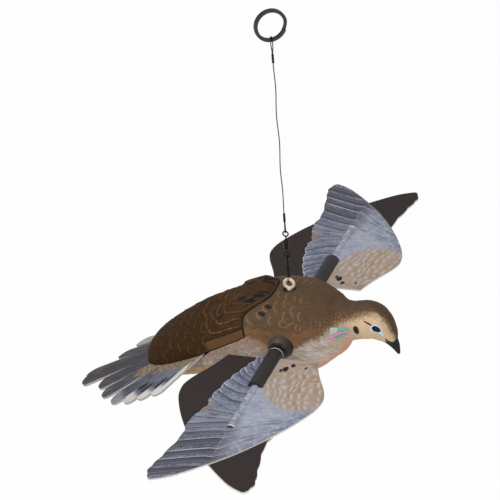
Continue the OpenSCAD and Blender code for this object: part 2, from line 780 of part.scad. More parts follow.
module motor_cradle() {
    foot_x = cradle_half_x - cradle_chamfer;
    cradle_outline = [
        [-cradle_half_x, clamp_z], [-cradle_half_x, cradle_chamfer - well_drop], [-foot_x, -well_drop],
        [foot_x, -well_drop], [cradle_half_x, cradle_chamfer - well_drop], [cradle_half_x, clamp_z]
    ];
    color("#d8d4cc") in_body() difference() {
        rotate([90, 0, 0]) linear_extrude(2 * cradle_half_y, center = true) polygon(cradle_outline);
        bar(motor_d, -cradle_half_y - lap, cradle_half_y + lap);
        clamp_screw_bars(clamp_screw_d, clamp_z - clamp_screw_len, clamp_z + lap);
    }
}

module motor_clamp() {
    strap_y = cradle_half_y - 2;
    color("#c9ccd0") in_body() difference() {
        union() {
            intersection() {
                bar(motor_d + 2 * clamp_t, -strap_y, strap_y);
                translate([-motor_d, -strap_y - lap, clamp_z]) cube([2 * motor_d, 2 * strap_y + 2 * lap, motor_d]);
            }
            translate([-cradle_half_x, -strap_y, clamp_z]) cube([2 * cradle_half_x, 2 * strap_y, clamp_t]);
        }
        bar(motor_d, -strap_y - lap, strap_y + lap);
        clamp_screw_bars(clamp_screw_d, clamp_z - lap, clamp_z + clamp_t + lap);
    }
}

module clamp_screws() {
    head_d = clamp_screw_d + 2.4;
    color("#8d8d8d") in_body() {
        clamp_screw_bars(clamp_screw_d, clamp_z - clamp_screw_len, clamp_z + clamp_t);
        clamp_screw_bars(head_d, clamp_z + clamp_t, clamp_z + clamp_t + screw_head_h);
    }
}

module battery_box() {
    ledge = [switch_size[0] + box_wall, switch_size[1], ledge_t];
    color("#26282c") in_body() {
        translate([box_x, 0, -battery_drop]) difference() {
            translate([-box_size[0] / 2, -box_size[1] / 2, 0]) cube(box_size);
            translate([-box_inner[0] / 2, -box_inner[1] / 2, box_wall]) cube([box_inner[0], box_inner[1], box_size[2]]);
        }
        translate([switch_x - switch_size[0] / 2, -ledge[1] / 2, switch_z - ledge_t]) cube(ledge);
    }
}

// Two cells side by side, nose to tail
module battery_cells() {
    nub_d = 5.2;
    nub_len = 1;
    color("#b5803a") in_body() for (s = [-1, 1])
        translate([box_x + s * cell_pitch / 2, 0, cell_z]) rotate([s * 90, 0, 0]) {
            translate([0, 0, -cell_len / 2]) cylinder(d = cell_d, h = cell_len - nub_len);
            translate([0, 0, cell_len / 2 - nub_len]) cylinder(d = nub_d, h = nub_len);
        }
}

module battery_contacts() {
    plate = cell_d * 0.7;
    color("#c9ccd0") in_body() for (s = [-1, 1]) for (e = [-1, 1])
        translate([box_x + s * cell_pitch / 2, e * (cell_len + contact_len) / 2, cell_z])
            cube([plate, contact_len, plate], center = true);
}

module switch_body() {
    slot = [knob_size[0] + 2 * knob_air, knob_size[1] + switch_travel + 2 * knob_air, switch_size[2]];
    color("#1f2124") in_body() translate([switch_x, 0, switch_z]) difference() {
        translate([-switch_size[0] / 2, -switch_size[1] / 2, 0]) cube(switch_size);
        translate([-slot[0] / 2, -slot[1] / 2, switch_wall]) cube(slot);
    }
}

module switch_slider() {
    start = -(switch_travel + knob_size[1]) / 2;
    color("#c2352b") in_body()
        translate([switch_x - knob_size[0] / 2, start, switch_z + switch_wall + knob_air]) cube(knob_size);
}

module drive_shaft() {
    color("#c9ccd0") at_shaft() bar(shaft_d, -shaft_end_y, shaft_end_y);
}

module washer(side) {
    color("#f0eee8") on_side(side) difference() {
        bar(sleeve_d, washer_y, sleeve_y);
        bar(shaft_d, washer_y - lap, sleeve_y + lap);
    }
}

// Tube that grips the shaft at its root and is split to take the wing's two panels
module sleeve(side) {
    color("#2c2828") on_side(side) difference() {
        bar(sleeve_d, sleeve_y, sleeve_end_y);
        bar(shaft_d, sleeve_y - lap, shaft_end_y);
        bar(rod_d, shaft_end_y, wing_y + lap);
        bar(2 * ridge_r, wing_y, sleeve_end_y + lap);
        translate([-sleeve_d, wing_y, -panel_t]) cube([2 * sleeve_d, sleeve_len, 2 * panel_t]);
    }
}

module wing_rod(side) {
    color("#c8c4bd") on_side(side) bar(rod_d, shaft_end_y, wing_y + ridge_len - rod_stop);
}

function scalloped(run, count, bulge) = [
    for (i = [0:count * scallop_steps - 1])
        let (f = i / scallop_steps, p = along(run, f * (len(run) - 1) / count))
        p - [0, bulge * sin(180 * (f - floor(f)))]
];

wing_outline = concat(
    [for (t = [0:1 / edge_steps:len(leading_edge) - 1]) along(leading_edge, t)],
    scalloped(primary_run, primary_count, primary_scallop),
    scalloped(secondary_run, secondary_count, scallop),
    [secondary_run[len(secondary_run) - 1]]
);

// One sheet of a wing, with the half-round ridge that covers the rod
module wing_panel() {
    difference() {
        union() {
            translate([0, wing_y, 0]) linear_extrude(panel_t) polygon([for (p = wing_outline) [p[1], p[0]]]);
            intersection() {
                bar(2 * ridge_r, wing_y, wing_y + ridge_len);
                translate([-ridge_r, wing_y - lap, 0]) cube([2 * ridge_r, ridge_len + 2 * lap, ridge_r]);
            }
        }
        bar(rod_d, wing_y - lap, wing_y + ridge_len - rod_stop);
    }
}

module wing_top(side) {
    color("#8a8fa3") on_side(side) wing_panel();
}

// The lower sheet is the upper one turned over about the shaft
module wing_bottom(side) {
    color("#352d2d") on_side(side) rotate([0, 180, 0]) wing_panel();
}

split_ring();
line_top_loop();
upper_crimp();
hang_line();
lower_crimp();
line_bottom_loop();
swivel_upper_eye();
swivel_barrel();
swivel_lower_eye();
leader_top_loop();
leader_knot();
leader_bottom_loop();
eye_screw();
eye_flange_nut();
eye_lock_nut();
body_shell();
nose_weight();
back_cover();
tail_fan();
tail_screws();
bearing_dome(-1);  // bearing_dome_right
bearing_dome(1);  // bearing_dome_left
bush(-1);  // bush_right
bush(1);  // bush_left
motor_can();
motor_cap(-1);  // motor_cap_right
motor_cap(1);  // motor_cap_left
motor_cradle();
motor_clamp();
clamp_screws();
battery_box();
battery_cells();
battery_contacts();
switch_body();
switch_slider();
drive_shaft();
washer(-1);  // washer_right
washer(1);  // washer_left
sleeve(-1);  // sleeve_right
sleeve(1);  // sleeve_left
wing_rod(-1);  // wing_rod_right
wing_rod(1);  // wing_rod_left
wing_top(-1);  // wing_top_right
wing_top(1);  // wing_top_left
wing_bottom(-1);  // wing_bottom_right
wing_bottom(1);  // wing_bottom_left
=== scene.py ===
import math

import bmesh
import bpy
import numpy as np
from mathutils import Matrix, Vector
from mathutils.bvhtree import BVHTree
from mathutils.kdtree import KDTree


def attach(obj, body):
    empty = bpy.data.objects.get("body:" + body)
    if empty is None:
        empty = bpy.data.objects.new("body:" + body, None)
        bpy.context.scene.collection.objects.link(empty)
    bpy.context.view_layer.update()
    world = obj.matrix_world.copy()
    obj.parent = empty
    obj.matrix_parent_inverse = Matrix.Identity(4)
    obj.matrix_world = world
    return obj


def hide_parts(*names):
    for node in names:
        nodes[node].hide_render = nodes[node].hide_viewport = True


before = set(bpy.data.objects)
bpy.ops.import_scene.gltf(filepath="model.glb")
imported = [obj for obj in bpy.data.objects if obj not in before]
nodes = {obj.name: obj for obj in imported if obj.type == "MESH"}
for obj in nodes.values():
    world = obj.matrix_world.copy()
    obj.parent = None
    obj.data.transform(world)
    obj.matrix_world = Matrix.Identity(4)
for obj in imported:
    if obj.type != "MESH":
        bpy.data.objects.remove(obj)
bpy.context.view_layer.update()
mm = 0.001
print("frame loaded:", len(nodes), "nodes")


# sRGB hex to linear light
def hexToLinear(code):
    channels = np.array([int(code[i:i + 2], 16) for i in (1, 3, 5)]) / 255
    return np.where(channels <= 0.04045, channels / 12.92, ((channels + 0.055) / 1.055) ** 2.4)


def ease(x, low, high):
    f = np.clip((x - low) / (high - low), 0, 1)
    return f * f * (3 - 2 * f)


# Brushes one colour over a painted surface where the mask says
def brush(paint, code, mask):
    paint += (hexToLinear(code) - paint) * np.clip(mask, 0, 1)[:, None]


# Brushes two tones by the height of a field: the colour, where it starts, where it is full, and its share
def mottled(paint, field, first, second, mask=1.0):
    for code, start, full, share in (first, second):
        brush(paint, code, mask * ease(field, start, full) * share)


# Number from 0 to 1 that is always the same for the same cell
def chance(column, row, shift, rates=(127.1, 311.7), scale=43758.5453):
    spun = np.sin(column * rates[0] + row * rates[1] + shift) * scale
    return spun - np.floor(spun)


# Smooth blotches from 0 to 1 whose size is in millimetres
def blotches(x, y, size, seed=0):
    x = x / size + 17.3 * seed
    y = y / size + 9.1 * seed
    column, row = np.floor(x), np.floor(y)
    fx = ease(x - column, 0, 1)
    fy = ease(y - row, 0, 1)
    sides = []
    for j in (0, 1):
        left, right = (chance(column + i, row + j, seed * 74.7) for i in (0, 1))
        sides.append(left * (1 - fx) + right * fx)
    return sides[0] * (1 - fy) + sides[1] * fy


# Rounded cells: distance to the nearest edge in millimetres, and a tone from 0 to 1 for each cell
def roundCells(x, y, size, seed=0):
    x = x / size
    y = y / size
    column, row = np.floor(x), np.floor(y)
    first = np.full(len(x), 9.0)
    second = np.full(len(x), 9.0)
    tone = np.zeros(len(x))
    for i in (-1, 0, 1):
        for j in (-1, 0, 1):
            px = chance(column + i, row + j, seed * 31.3)
            py = chance(column + i, row + j, seed * 57.1, (269.5, 183.3), 24634.6345)
            gap = np.hypot(column + i + 0.2 + 0.6 * px - x, row + j + 0.2 + 0.6 * py - y)
            closer = gap < first
            second = np.where(closer, first, np.minimum(second, gap))
            tone = np.where(closer, (px + py) / 2, tone)
            first = np.where(closer, gap, first)
    return (second - first) * size / 2, tone


# Curve through rows of numbers, one row for each whole step of t
def alongRows(rows, t):
    rows = np.asarray(rows, float)
    last = len(rows) - 1
    t = np.clip(t, 0, last)
    i = np.minimum(np.floor(t).astype(int), last - 1)
    f = (t - i)[..., None]
    a = rows[np.clip(i - 1, 0, last)]
    b = rows[i]
    c = rows[i + 1]
    d = rows[np.clip(i + 2, 0, last)]
    bend = (2 * a - 5 * b + 4 * c - d) * f ** 2
    twist = (3 * b - a - 3 * c + d) * f ** 3
    return 0.5 * (2 * b + (c - a) * f + bend + twist)


# Links what feeds a node: a socket, or another node's first output
def feed(tree, node, links):
    for key, source in links.items():
        socket = source.outputs[0] if isinstance(source, bpy.types.Node) else source
        tree.links.new(socket, node.inputs[key])


# Adds a node, sets its own values and sockets, and links what feeds it
def addNode(tree, kind, settings=None, links=None):
    node = tree.nodes.new("ShaderNode" + kind)
    for key, value in (settings or {}).items():
        if isinstance(key, int) or key in node.inputs:
            node.inputs[key].default_value = value
        else:
            setattr(node, key, value)
    feed(tree, node, links or {})
    return node


def newMaterial(name, specular=0.5):
    material = bpy.data.materials.new(name)
    material.use_nodes = True
    tree = material.node_tree
    shader = tree.nodes["Principled BSDF"]
    shader.inputs["Specular IOR Level"].default_value = specular
    return material, tree, shader


def rgba(code):
    return (*hexToLinear(code), 1.0)


def dress(obj, material):
    obj.data.materials.clear()
    obj.data.materials.append(material)


# Moulded, turned and plated finishes: two close tones, a grain whose size is in millimetres, and roughness
# that follows it. The grain is coarser than the real one, so that it shows
def makeFinish(name, tones, grain, rough, metal=0.0, bump=0.02, spread=0.07, specular=0.5):
    material, tree, shader = newMaterial(name, specular)
    coords = addNode(tree, "TexCoord")
    grit = addNode(tree, "TexNoise", {"Scale": 1 / (grain * mm), "Detail": 4.0},
                   {"Vector": coords.outputs["Object"]})
    tone = addNode(tree, "Mix", {"data_type": "RGBA", 6: rgba(tones[0]), 7: rgba(tones[1])}, {0: grit})
    sheen = addNode(tree, "MapRange", {3: rough - spread, 4: rough + spread}, {0: grit})
    relief = addNode(tree, "Bump", {"Distance": bump * mm, "Strength": 0.6}, {"Height": grit})
    feed(tree, shader, {"Base Color": tone.outputs[2], "Roughness": sheen, "Normal": relief})
    shader.inputs["Metallic"].default_value = metal
    return material


# Painted or printed plumage: the mesh's own colour, whose alpha says how plainly the hair shows. The hair's
# length and width are in millimetres, coarser than the real ones so that they show
def makePlumage(name, rough, hair, bump, depth, specular=0.18):
    material, tree, shader = newMaterial(name, specular)
    paint = addNode(tree, "Attribute", {"attribute_name": "plumage"})
    lay = addNode(tree, "UVMap", {"uv_map": "featherLay"})
    combed = addNode(tree, "Mapping", {"Scale": (1 / (hair[0] * mm), 1 / (hair[1] * mm), 1)}, {"Vector": lay})
    hairs = addNode(tree, "TexNoise", {"Scale": 1.0, "Detail": 3.0, "Distortion": 0.6}, {"Vector": combed})
    shade = addNode(tree, "MapRange", {1: 0.25, 2: 0.75, 3: 1 - depth, 4: 1 + depth}, {0: hairs})
    shown = addNode(tree, "Mix", {"data_type": "FLOAT", 2: 1.0}, {0: paint.outputs["Alpha"], 3: shade})
    toned = addNode(tree, "HueSaturation", {}, {"Value": shown, "Color": paint.outputs["Color"]})
    sheen = addNode(tree, "MapRange", {3: rough + 0.08, 4: rough - 0.08}, {0: hairs})
    relief = addNode(tree, "Bump", {"Distance": bump * mm, "Strength": 0.7}, {"Height": hairs})
    feed(tree, shader, {"Base Color": toned, "Roughness": sheen, "Normal": relief})
    return material


def linked(name, data):
    obj = bpy.data.objects.new(name, data)
    bpy.context.scene.collection.objects.link(obj)
    return obj


# Camera at the photograph's place, in millimetres from the split ring
photoCamera = {
    "place": (548.59, -1533.15, 686.45),
    "aim": (-30.57, 0.0, -193.66),
    "roll": -4.614,
    "lens": 170.16,
    "sensor": 36.0,
    "pixels": 500,
}


def cameraAxes():
    back = (Vector(photoCamera["place"]) - Vector(photoCamera["aim"])).normalized()
    right = Vector((0, 0, 1)).cross(back).normalized()
    up = back.cross(right)
    roll = math.radians(photoCamera["roll"])
    return (right * math.cos(roll) + up * math.sin(roll),
            up * math.cos(roll) - right * math.sin(roll), back)


cameraRight, cameraUp, cameraBack = cameraAxes()
cameraPlace = Vector(photoCamera["place"]) * mm
cameraData = bpy.data.cameras.new("photo_camera")
cameraData.lens = photoCamera["lens"]
cameraData.sensor_width = photoCamera["sensor"]
cameraObject = linked("photo_camera", cameraData)
cameraTurn = Matrix((cameraRight, cameraUp, cameraBack)).transposed()
cameraObject.matrix_world = Matrix.Translation(cameraPlace) @ cameraTurn.to_4x4()
bpy.context.scene.camera = cameraObject


# Direction from the camera through a pixel of the photograph
def pixelRay(x, y):
    half = photoCamera["pixels"] / 2
    focal = photoCamera["lens"] / photoCamera["sensor"] * photoCamera["pixels"]
    return (cameraRight * (x - half) + cameraUp * (half - y) - cameraBack * focal).normalized()


print("camera set")


def addObject(name, data, body, material):
    obj = linked(name, data)
    dress(obj, material)
    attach(obj, body)
    return obj


# Braided black line, whose crossing strands give it a dull sparkle. They are finer on the real line, and are
# drawn a millimetre apart so that they show
def makeBraid():
    material, tree, shader = newMaterial("polyester line, braided black", 0.2)
    coords = addNode(tree, "TexCoord")
    turned = addNode(tree, "Mapping", {"Rotation": (0.6, 0.3, 0)}, {"Vector": coords.outputs["Object"]})
    strands = addNode(tree, "TexWave", {"Scale": 1 / (6.3 * mm), "Distortion": 1.5, "bands_direction": "Z"},
                      {"Vector": turned})
    crossed = strands.outputs["Fac"]
    tone = addNode(tree, "Mix", {"data_type": "RGBA", 6: rgba("#070606"), 7: rgba("#1c1a1a")}, {0: crossed})
    relief = addNode(tree, "Bump", {"Distance": 0.15 * mm}, {"Height": crossed})
    feed(tree, shader, {"Base Color": tone.outputs[2], "Normal": relief})
    shader.inputs["Roughness"].default_value = 0.62
    return material


# Hanging line and leader, in millimetres. Each loop has the node that it stands for, its body, the radius of
# the wire in its bend, the heights of its bend and its foot, its turn about the line, and its slack
lineForm = {
    "diameter": 0.8,
    "top": -30.5,
    "length": 128.0,
    "bends": [(0, 0, 0), (0, 0, 3), (0.5, 0.2, 17), (-0.3, -0.2, 34), (0.4, 0.3, 52),
              (-0.4, 0, 69), (0.3, -0.2, 84), (0, 0, 97), (0, 0, 100)],
    "routePoints": 41,
    "loops": {
        "line_loop_upper": ("line_top_loop", "hanger", 1.80278, -11.7, -23.5, -53.0, 1.0),
        "line_loop_lower": ("line_bottom_loop", "hanger", 0.55, -173.95, -165.5, 90.0, 0.0),
        "leader_loop_upper": ("leader_top_loop", "leader", 0.55, -196.25, -205.1, 90.0, 0.0),
        "leader_loop_lower": ("leader_bottom_loop", "leader", 1.35, -216.8, -208.6, 90.0, 0.0)},
    "loopAir": 0.2,
    "footAir": 0.1,
    "slackAt": 0.42,
    "bendFrom": 190.0,
    "bendTurn": 200.0,
    "bendSteps": 24,
    "knotFoot": -208.6,
    "knotLength": 3.5,
    "knotTurns": 4.5,
    "knotRadius": 0.6,
    "knotSteps": 20,
}
braid = makeBraid()


# Cord along a route, as a round curve that stands for its node
def makeCord(name, node, body, route):
    curve = bpy.data.curves.new(name, "CURVE")
    curve.dimensions = "3D"
    curve.bevel_depth = lineForm["diameter"] / 2 * mm
    curve.bevel_resolution = 4
    curve.use_fill_caps = True
    spline = curve.splines.new("POLY")
    spline.points.add(len(route) - 1)
    for point, place in zip(spline.points, route):
        point.co = (*(Vector(place) * mm), 1)
    spline.use_smooth = True
    cord = addObject(name, curve, body, braid)
    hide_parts(node)
    return cord


def lineRoute():
    t = np.linspace(0, len(lineForm["bends"]) - 1, lineForm["routePoints"])
    bends = alongRows(lineForm["bends"], t)
    return [(x, y, lineForm["top"] - lineForm["length"] * z / 100) for x, y, z in bends]


# Cord up one side of a wire, round it and down, or the other way up where its foot is above the wire
def loopRoute(wire, top, foot, turn, slack):
    radius = lineForm["diameter"] / 2
    bend = wire + radius + lineForm["loopAir"]
    half = radius + lineForm["footAir"]
    drop = abs(top - foot)
    leg = [(half, -drop), (half, -drop + lineForm["diameter"])]
    if slack:
        leg.append((bend * slack, -lineForm["slackAt"] * drop))
    route = [(-x, z) for x, z in leg]
    for k in range(lineForm["bendSteps"] + 1):
        a = math.radians(lineForm["bendFrom"] - lineForm["bendTurn"] * k / lineForm["bendSteps"])
        route.append((bend * math.cos(a), bend * math.sin(a)))
    route += leg[::-1]
    c, s = math.cos(math.radians(turn)), math.sin(math.radians(turn))
    return [(x * c, x * s, top - z if foot > top else top + z) for x, z in route]


# Knot of close turns round the leader's strands, whose ends are hidden in it
def knotRoute(inset=0.3, rise=0.4, pack=0.9):
    count = int(lineForm["knotTurns"] * lineForm["knotSteps"])
    foot, length = lineForm["knotFoot"], lineForm["knotLength"]
    climb = length - lineForm["diameter"] * pack
    route = [(0, 0, foot - inset)]
    for k in range(count + 1):
        a = 2 * math.pi * k / lineForm["knotSteps"]
        route.append((lineForm["knotRadius"] * math.cos(a), lineForm["knotRadius"] * math.sin(a),
                      foot + rise + climb * k / count))
    return route + [(0, 0, foot + length + inset)]


hangLine = makeCord("hanging_line", "hang_line", "hanger", lineRoute())
for name, (node, body, *form) in lineForm["loops"].items():
    makeCord(name, node, body, loopRoute(*form))
makeCord("leader_knot_turns", "leader_knot", "leader", knotRoute())
print("cords laid")

# Loft of the body in the seam's frame, in millimetres. A station has its place forward and up, its half
# width, the heights of its back and belly, and the squareness of its back
bodyForm = {
    "stations": [
        (-130.5, 13.75, 14, 11.5, 4, 2.4), (-125, 13.25, 22, 18, 6, 2.5), (-111, 12.75, 31, 23.5, 10, 2.6),
        (-79, 12.75, 39, 27.5, 20, 2.8), (-45, 11.25, 42, 27.5, 31, 3), (-14, 6.25, 41, 29, 38, 3),
        (14, -3.75, 37, 27, 38.25, 2.8), (32.75, -10.75, 27, 19.5, 27, 2.3), (43.75, -13.75, 18, 12.5, 17, 2),
        (59.5, -20.25, 15.5, 14, 14.75, 2), (65, -26.75, 14, 11.25, 15.25, 2), (67, -36.75, 9, 8, 8.5, 2),
        (67, -43.75, 5, 4.5, 4.5, 2), (67, -49.25, 3, 3, 2.8, 2), (66, -56.25, 0.7, 0.7, 0.7, 2)],
    "shaft": (3.0, 0.0, -255.55),
    "pitch": 28.0,
    "bellySquare": 2.2,
    "seamFront": 5.2,
    "sweep": 0.53,
    "sweepReach": 1.8,
    "sweepFrom": 5.0,
    "sweepTo": 45.0,
    "seamZ": 18.75,
    "seamGap": 0.4,
    "tailRidge": 21.0,
    "tailDroop": 6.0,
    "tailThick": 1.4,
    "rearCells": 18,
    "tailCells": 12,
    "skinLift": 0.35,
    "skinTuck": 0.5,
    "skinReach": 2.0,
    "skinAir": 0.12,
    "eyeHole": 5.0,
    "leastReach": 0.1,
    "tiltStep": 0.01,
    "spineSamples": 2000,
    "arcSamples": 24,
}
lastStation = len(bodyForm["stations"]) - 1
shaftPlace = np.array(bodyForm["shaft"])
pitchCos = math.cos(math.radians(bodyForm["pitch"]))
pitchSin = math.sin(math.radians(bodyForm["pitch"]))


def sectionAt(t):
    return np.moveaxis(alongRows(bodyForm["stations"], t), -1, 0)


def spineTilt(t):
    ahead = sectionAt(t + bodyForm["tiltStep"])
    behind = sectionAt(t - bodyForm["tiltStep"])
    return np.arctan2(ahead[1] - behind[1], ahead[0] - behind[0])


def squared(v, n):
    return np.sign(v) * np.abs(v) ** (2 / n)


# Point of the skin at a station and an angle from the back, in the seam's frame
def skinPoint(t, a, lift):
    forward, height, half, back, belly, square = sectionAt(t)
    up, across = np.cos(np.radians(a)), np.sin(np.radians(a))
    n = np.where(up > 0, square, bodyForm["bellySquare"])
    rise = np.maximum(np.where(up > 0, back, belly) + lift, bodyForm["leastReach"]) * squared(up, n)
    side = np.maximum(half + lift, bodyForm["leastReach"]) * squared(across, n)
    tilt = spineTilt(t)
    return np.stack((forward - np.sin(tilt) * rise, side, height + np.cos(tilt) * rise), -1)


def angleAt(rise, reach, n):
    return np.degrees(np.arccos(np.minimum(1, (np.maximum(rise, 0) / reach) ** (n / 2))))


# Angle from the back at which the skin is at a height
def rimAngle(t, z):
    _, height, _, back, belly, square = sectionAt(t)
    rise = (z - height) / np.cos(spineTilt(t))
    under = 180 - angleAt(-rise, belly, bodyForm["bellySquare"])
    return np.where(rise > 0, angleAt(rise, back, square), under)


# The seam's front edge sweeps back down the sides
def pullBack(t):
    return bodyForm["sweep"] * np.maximum(0, 1 - np.abs(t - bodyForm["seamFront"]) / bodyForm["sweepReach"])


def swept(t, a):
    b = np.abs(np.where(a > 180, 360 - a, a))
    return t - pullBack(t) * ease(b, bodyForm["sweepFrom"], bodyForm["sweepTo"])


# Seam's frame to the object's frame, in metres
def toFrame(p):
    x, y, z = np.moveaxis(p, -1, 0)
    turned = np.stack((x * pitchCos - z * pitchSin, y, x * pitchSin + z * pitchCos), -1)
    return (turned + shaftPlace) * mm


def toSeam(p):
    x, y, z = np.moveaxis(p / mm - shaftPlace, -1, 0)
    return np.stack((x * pitchCos + z * pitchSin, y, z * pitchCos - x * pitchSin), -1)


# Rims of the shell and the cover along the rear, as angles from the back
rearCell = np.arange(bodyForm["rearCells"] + 1)
rimT = bodyForm["seamFront"] * rearCell / bodyForm["rearCells"]
onTail = rearCell <= bodyForm["tailCells"]
sideT = rimT - pullBack(rimT)
droop = math.radians(bodyForm["tailDroop"])
tailSeat = bodyForm["tailRidge"] - math.tan(droop) * sectionAt(sideT)[2]
rimHeight = np.where(onTail, tailSeat, bodyForm["seamZ"])
shellRim = rimAngle(sideT, rimHeight)
overTail = bodyForm["tailThick"] / math.cos(droop)
coverRim = rimAngle(sideT, rimHeight + bodyForm["seamGap"] + np.where(onTail, overTail, 0))

# Stations spread evenly along the spine
spineT = np.linspace(0, lastStation, bodyForm["spineSamples"])
spineStep = np.diff(sectionAt(spineT)[:2], axis=1)
spineArc = np.concatenate(([0], np.cumsum(np.hypot(*spineStep))))


def evenStations(start, end, count):
    arcs = np.interp([start, end], spineT, spineArc)
    return np.interp(np.linspace(arcs[0], arcs[1], count + 1), spineArc, spineT)


# Fresh grid, with each point's column and row counted from its corner
def gridSheet(bm, columns, rows):
    made = bmesh.ops.create_grid(bm, x_segments=columns, y_segments=rows, size=0.5)["verts"]
    flat = np.array([v.co[:2] for v in made]) + 0.5
    return made, np.rint(flat[:, 0] * columns).astype(int), np.rint(flat[:, 1] * rows).astype(int)


def meshFrom(bm, name):
    mesh = bpy.data.meshes.new(name)
    bm.to_mesh(mesh)
    bm.free()
    return mesh


# Mesh of a grid whose points go to given places, with its faces turned over where asked
def laidSheet(bm, name, verts, places, over):
    for vert, place in zip(verts, places):
        vert.co = place
    if over:
        bmesh.ops.reverse_faces(bm, faces=bm.faces[:])
    return meshFrom(bm, name)


# Arc from the back's middle round to an angle, for laying the feathers in millimetres
def aroundArc(t, a):
    fine = np.linspace(0, 1, bodyForm["arcSamples"])
    b = np.abs(np.where(a > 180, a - 360, a))
    rows = skinPoint(t[:, None], b[:, None] * fine, 0)
    return np.linalg.norm(np.diff(rows, axis=1), axis=2).sum(1)


def newSkin():
    bm = bmesh.new()
    bm.verts.layers.float.new("station")
    bm.verts.layers.float.new("angle")
    return bm


def setPoints(bm, verts, t, a):
    places = toFrame(skinPoint(swept(t, a), a, bodyForm["skinLift"]))
    station = bm.verts.layers.float["station"]
    angle = bm.verts.layers.float["angle"]
    for v, place, tv, av in zip(verts, places, t, a):
        v.co = place
        v[station] = tv
        v[angle] = av - 360 if av > 180 else av


# Lifts a skin over the flat facets of the solid that it covers
def clearSolid(bm, node):
    bm.normal_update()
    solid = nodes[node].data
    tree = BVHTree.FromPolygons([v.co for v in solid.vertices], [p.vertices for p in solid.polygons])
    reach = bodyForm["skinReach"] * mm
    air = bodyForm["skinAir"] * mm
    for v in bm.verts:
        hit = tree.ray_cast(v.co + v.normal * reach, -v.normal, reach + air)[0]
        if hit is not None:
            v.co = hit + v.normal * air


# Tucks every open edge of a skin in to the wall that it covers
def tuckEdges(bm):
    bm.normal_update()
    outward = bm.verts.layers.float_vector.new("outward")
    tucked = bm.verts.layers.float.new("tucked")
    for v in bm.verts:
        v[outward] = v.normal
    rim = [e for e in bm.edges if e.is_boundary]
    made = bmesh.ops.extrude_edge_only(bm, edges=rim)["geom"]
    for v in made:
        if isinstance(v, bmesh.types.BMVert):
            v.co -= v[outward] * bodyForm["skinTuck"] * mm
            v[tucked] = 1


# Finishes a skin, and gives its mesh and a tree for finding points on it
def closeSkin(bm, node, name):
    clearSolid(bm, node)
    tree = BVHTree.FromBMesh(bm)
    tuckEdges(bm)
    return meshFrom(bm, name), tree


def readLayer(mesh, name):
    values = np.zeros(len(mesh.vertices))
    mesh.attributes[name].data.foreach_get("value", values)
    return values


def readPoints(mesh):
    values = np.zeros(len(mesh.vertices) * 3)
    mesh.vertices.foreach_get("co", values)
    return values.reshape(-1, 3)


def writePaint(mesh, paint, lay, relief=None, hairs=0.5):
    if relief is not None:
        normals = np.zeros(len(mesh.vertices) * 3)
        mesh.vertex_normals.foreach_get("vector", normals)
        kept = 1 - readLayer(mesh, "tucked")
        places = readPoints(mesh) + normals.reshape(-1, 3) * (relief * kept * mm)[:, None]
        mesh.vertices.foreach_set("co", places.ravel())
    layer = mesh.color_attributes.new("plumage", "FLOAT_COLOR", "POINT")
    colours = np.ones((len(mesh.vertices), 4))
    colours[:, :3] = np.clip(paint, 0, 1)
    colours[:, 3] = hairs
    layer.data.foreach_set("color", colours.ravel())
    corners = np.zeros(len(mesh.loops), int)
    mesh.loops.foreach_get("vertex_index", corners)
    uv = mesh.uv_layers.new(name="featherLay")
    uv.data.foreach_set("uv", (lay * mm)[corners].ravel())
    mesh.polygons.foreach_set("use_smooth", np.ones(len(mesh.polygons), bool))
    for name in ("station", "angle", "tucked", "outward", "alongMm", "acrossMm"):
        if name in mesh.attributes:
            mesh.attributes.remove(mesh.attributes[name])
    mesh.update()


# Station, angle, place, arc from the back's middle and run along the spine of every point of a skin
def skinFields(mesh):
    t = readLayer(mesh, "station")
    a = np.abs(readLayer(mesh, "angle"))
    return t, a, toSeam(readPoints(mesh)), aroundArc(t, a), np.interp(t, spineT, spineArc)


# Distance in millimetres of every point from a stroke, on either side of the bird
def strokeDistance(points, stroke):
    best = np.full(len(points), 1e6)
    stroke = np.asarray(stroke, float)
    mirrored = points * np.array((1, -1, 1))
    for a, b in zip(stroke[:-1], stroke[1:]):
        run = b - a
        for side in (points, mirrored):
            f = np.clip(((side - a) @ run) / max(run @ run, 1e-9), 0, 1)
            best = np.minimum(best, np.linalg.norm(side - a - f[:, None] * run, axis=1))
    return best


# Mask of a stroke with a soft edge, its reach in millimetres
def strokeMask(points, stroke, reach, soft):
    return ease(reach - strokeDistance(points, stroke), 0, soft)


# Points of the photograph carried on to a skin, in the seam's frame, where nothing hides it
def onSkin(tree, pixels, hider=None):
    found = []
    for x, y in pixels:
        ray = pixelRay(x, y)
        hit, normal, _, far = tree.ray_cast(cameraPlace, ray)
        hidden = hider.ray_cast(cameraPlace, ray)[3] if hider else None
        if hit is None or normal.dot(ray) > 0 or (hidden is not None and hidden < far):
            continue
        found.append(toSeam(np.array(hit)))
    return np.array(found)


# Body skin: the lower half runs the whole length, the upper half from the cover's front edge to the bill
bodySkin = {
    "rear": 130,
    "front": 200,
    "low": 220,
    "up": 110,
    "frontStart": 5.212,
    "rimAir": 0.45,
    "rimFade": 0.05,
    "weld": 2e-6,
    "tipReach": 1e-4,
    "eyeRing": 2.0,
}


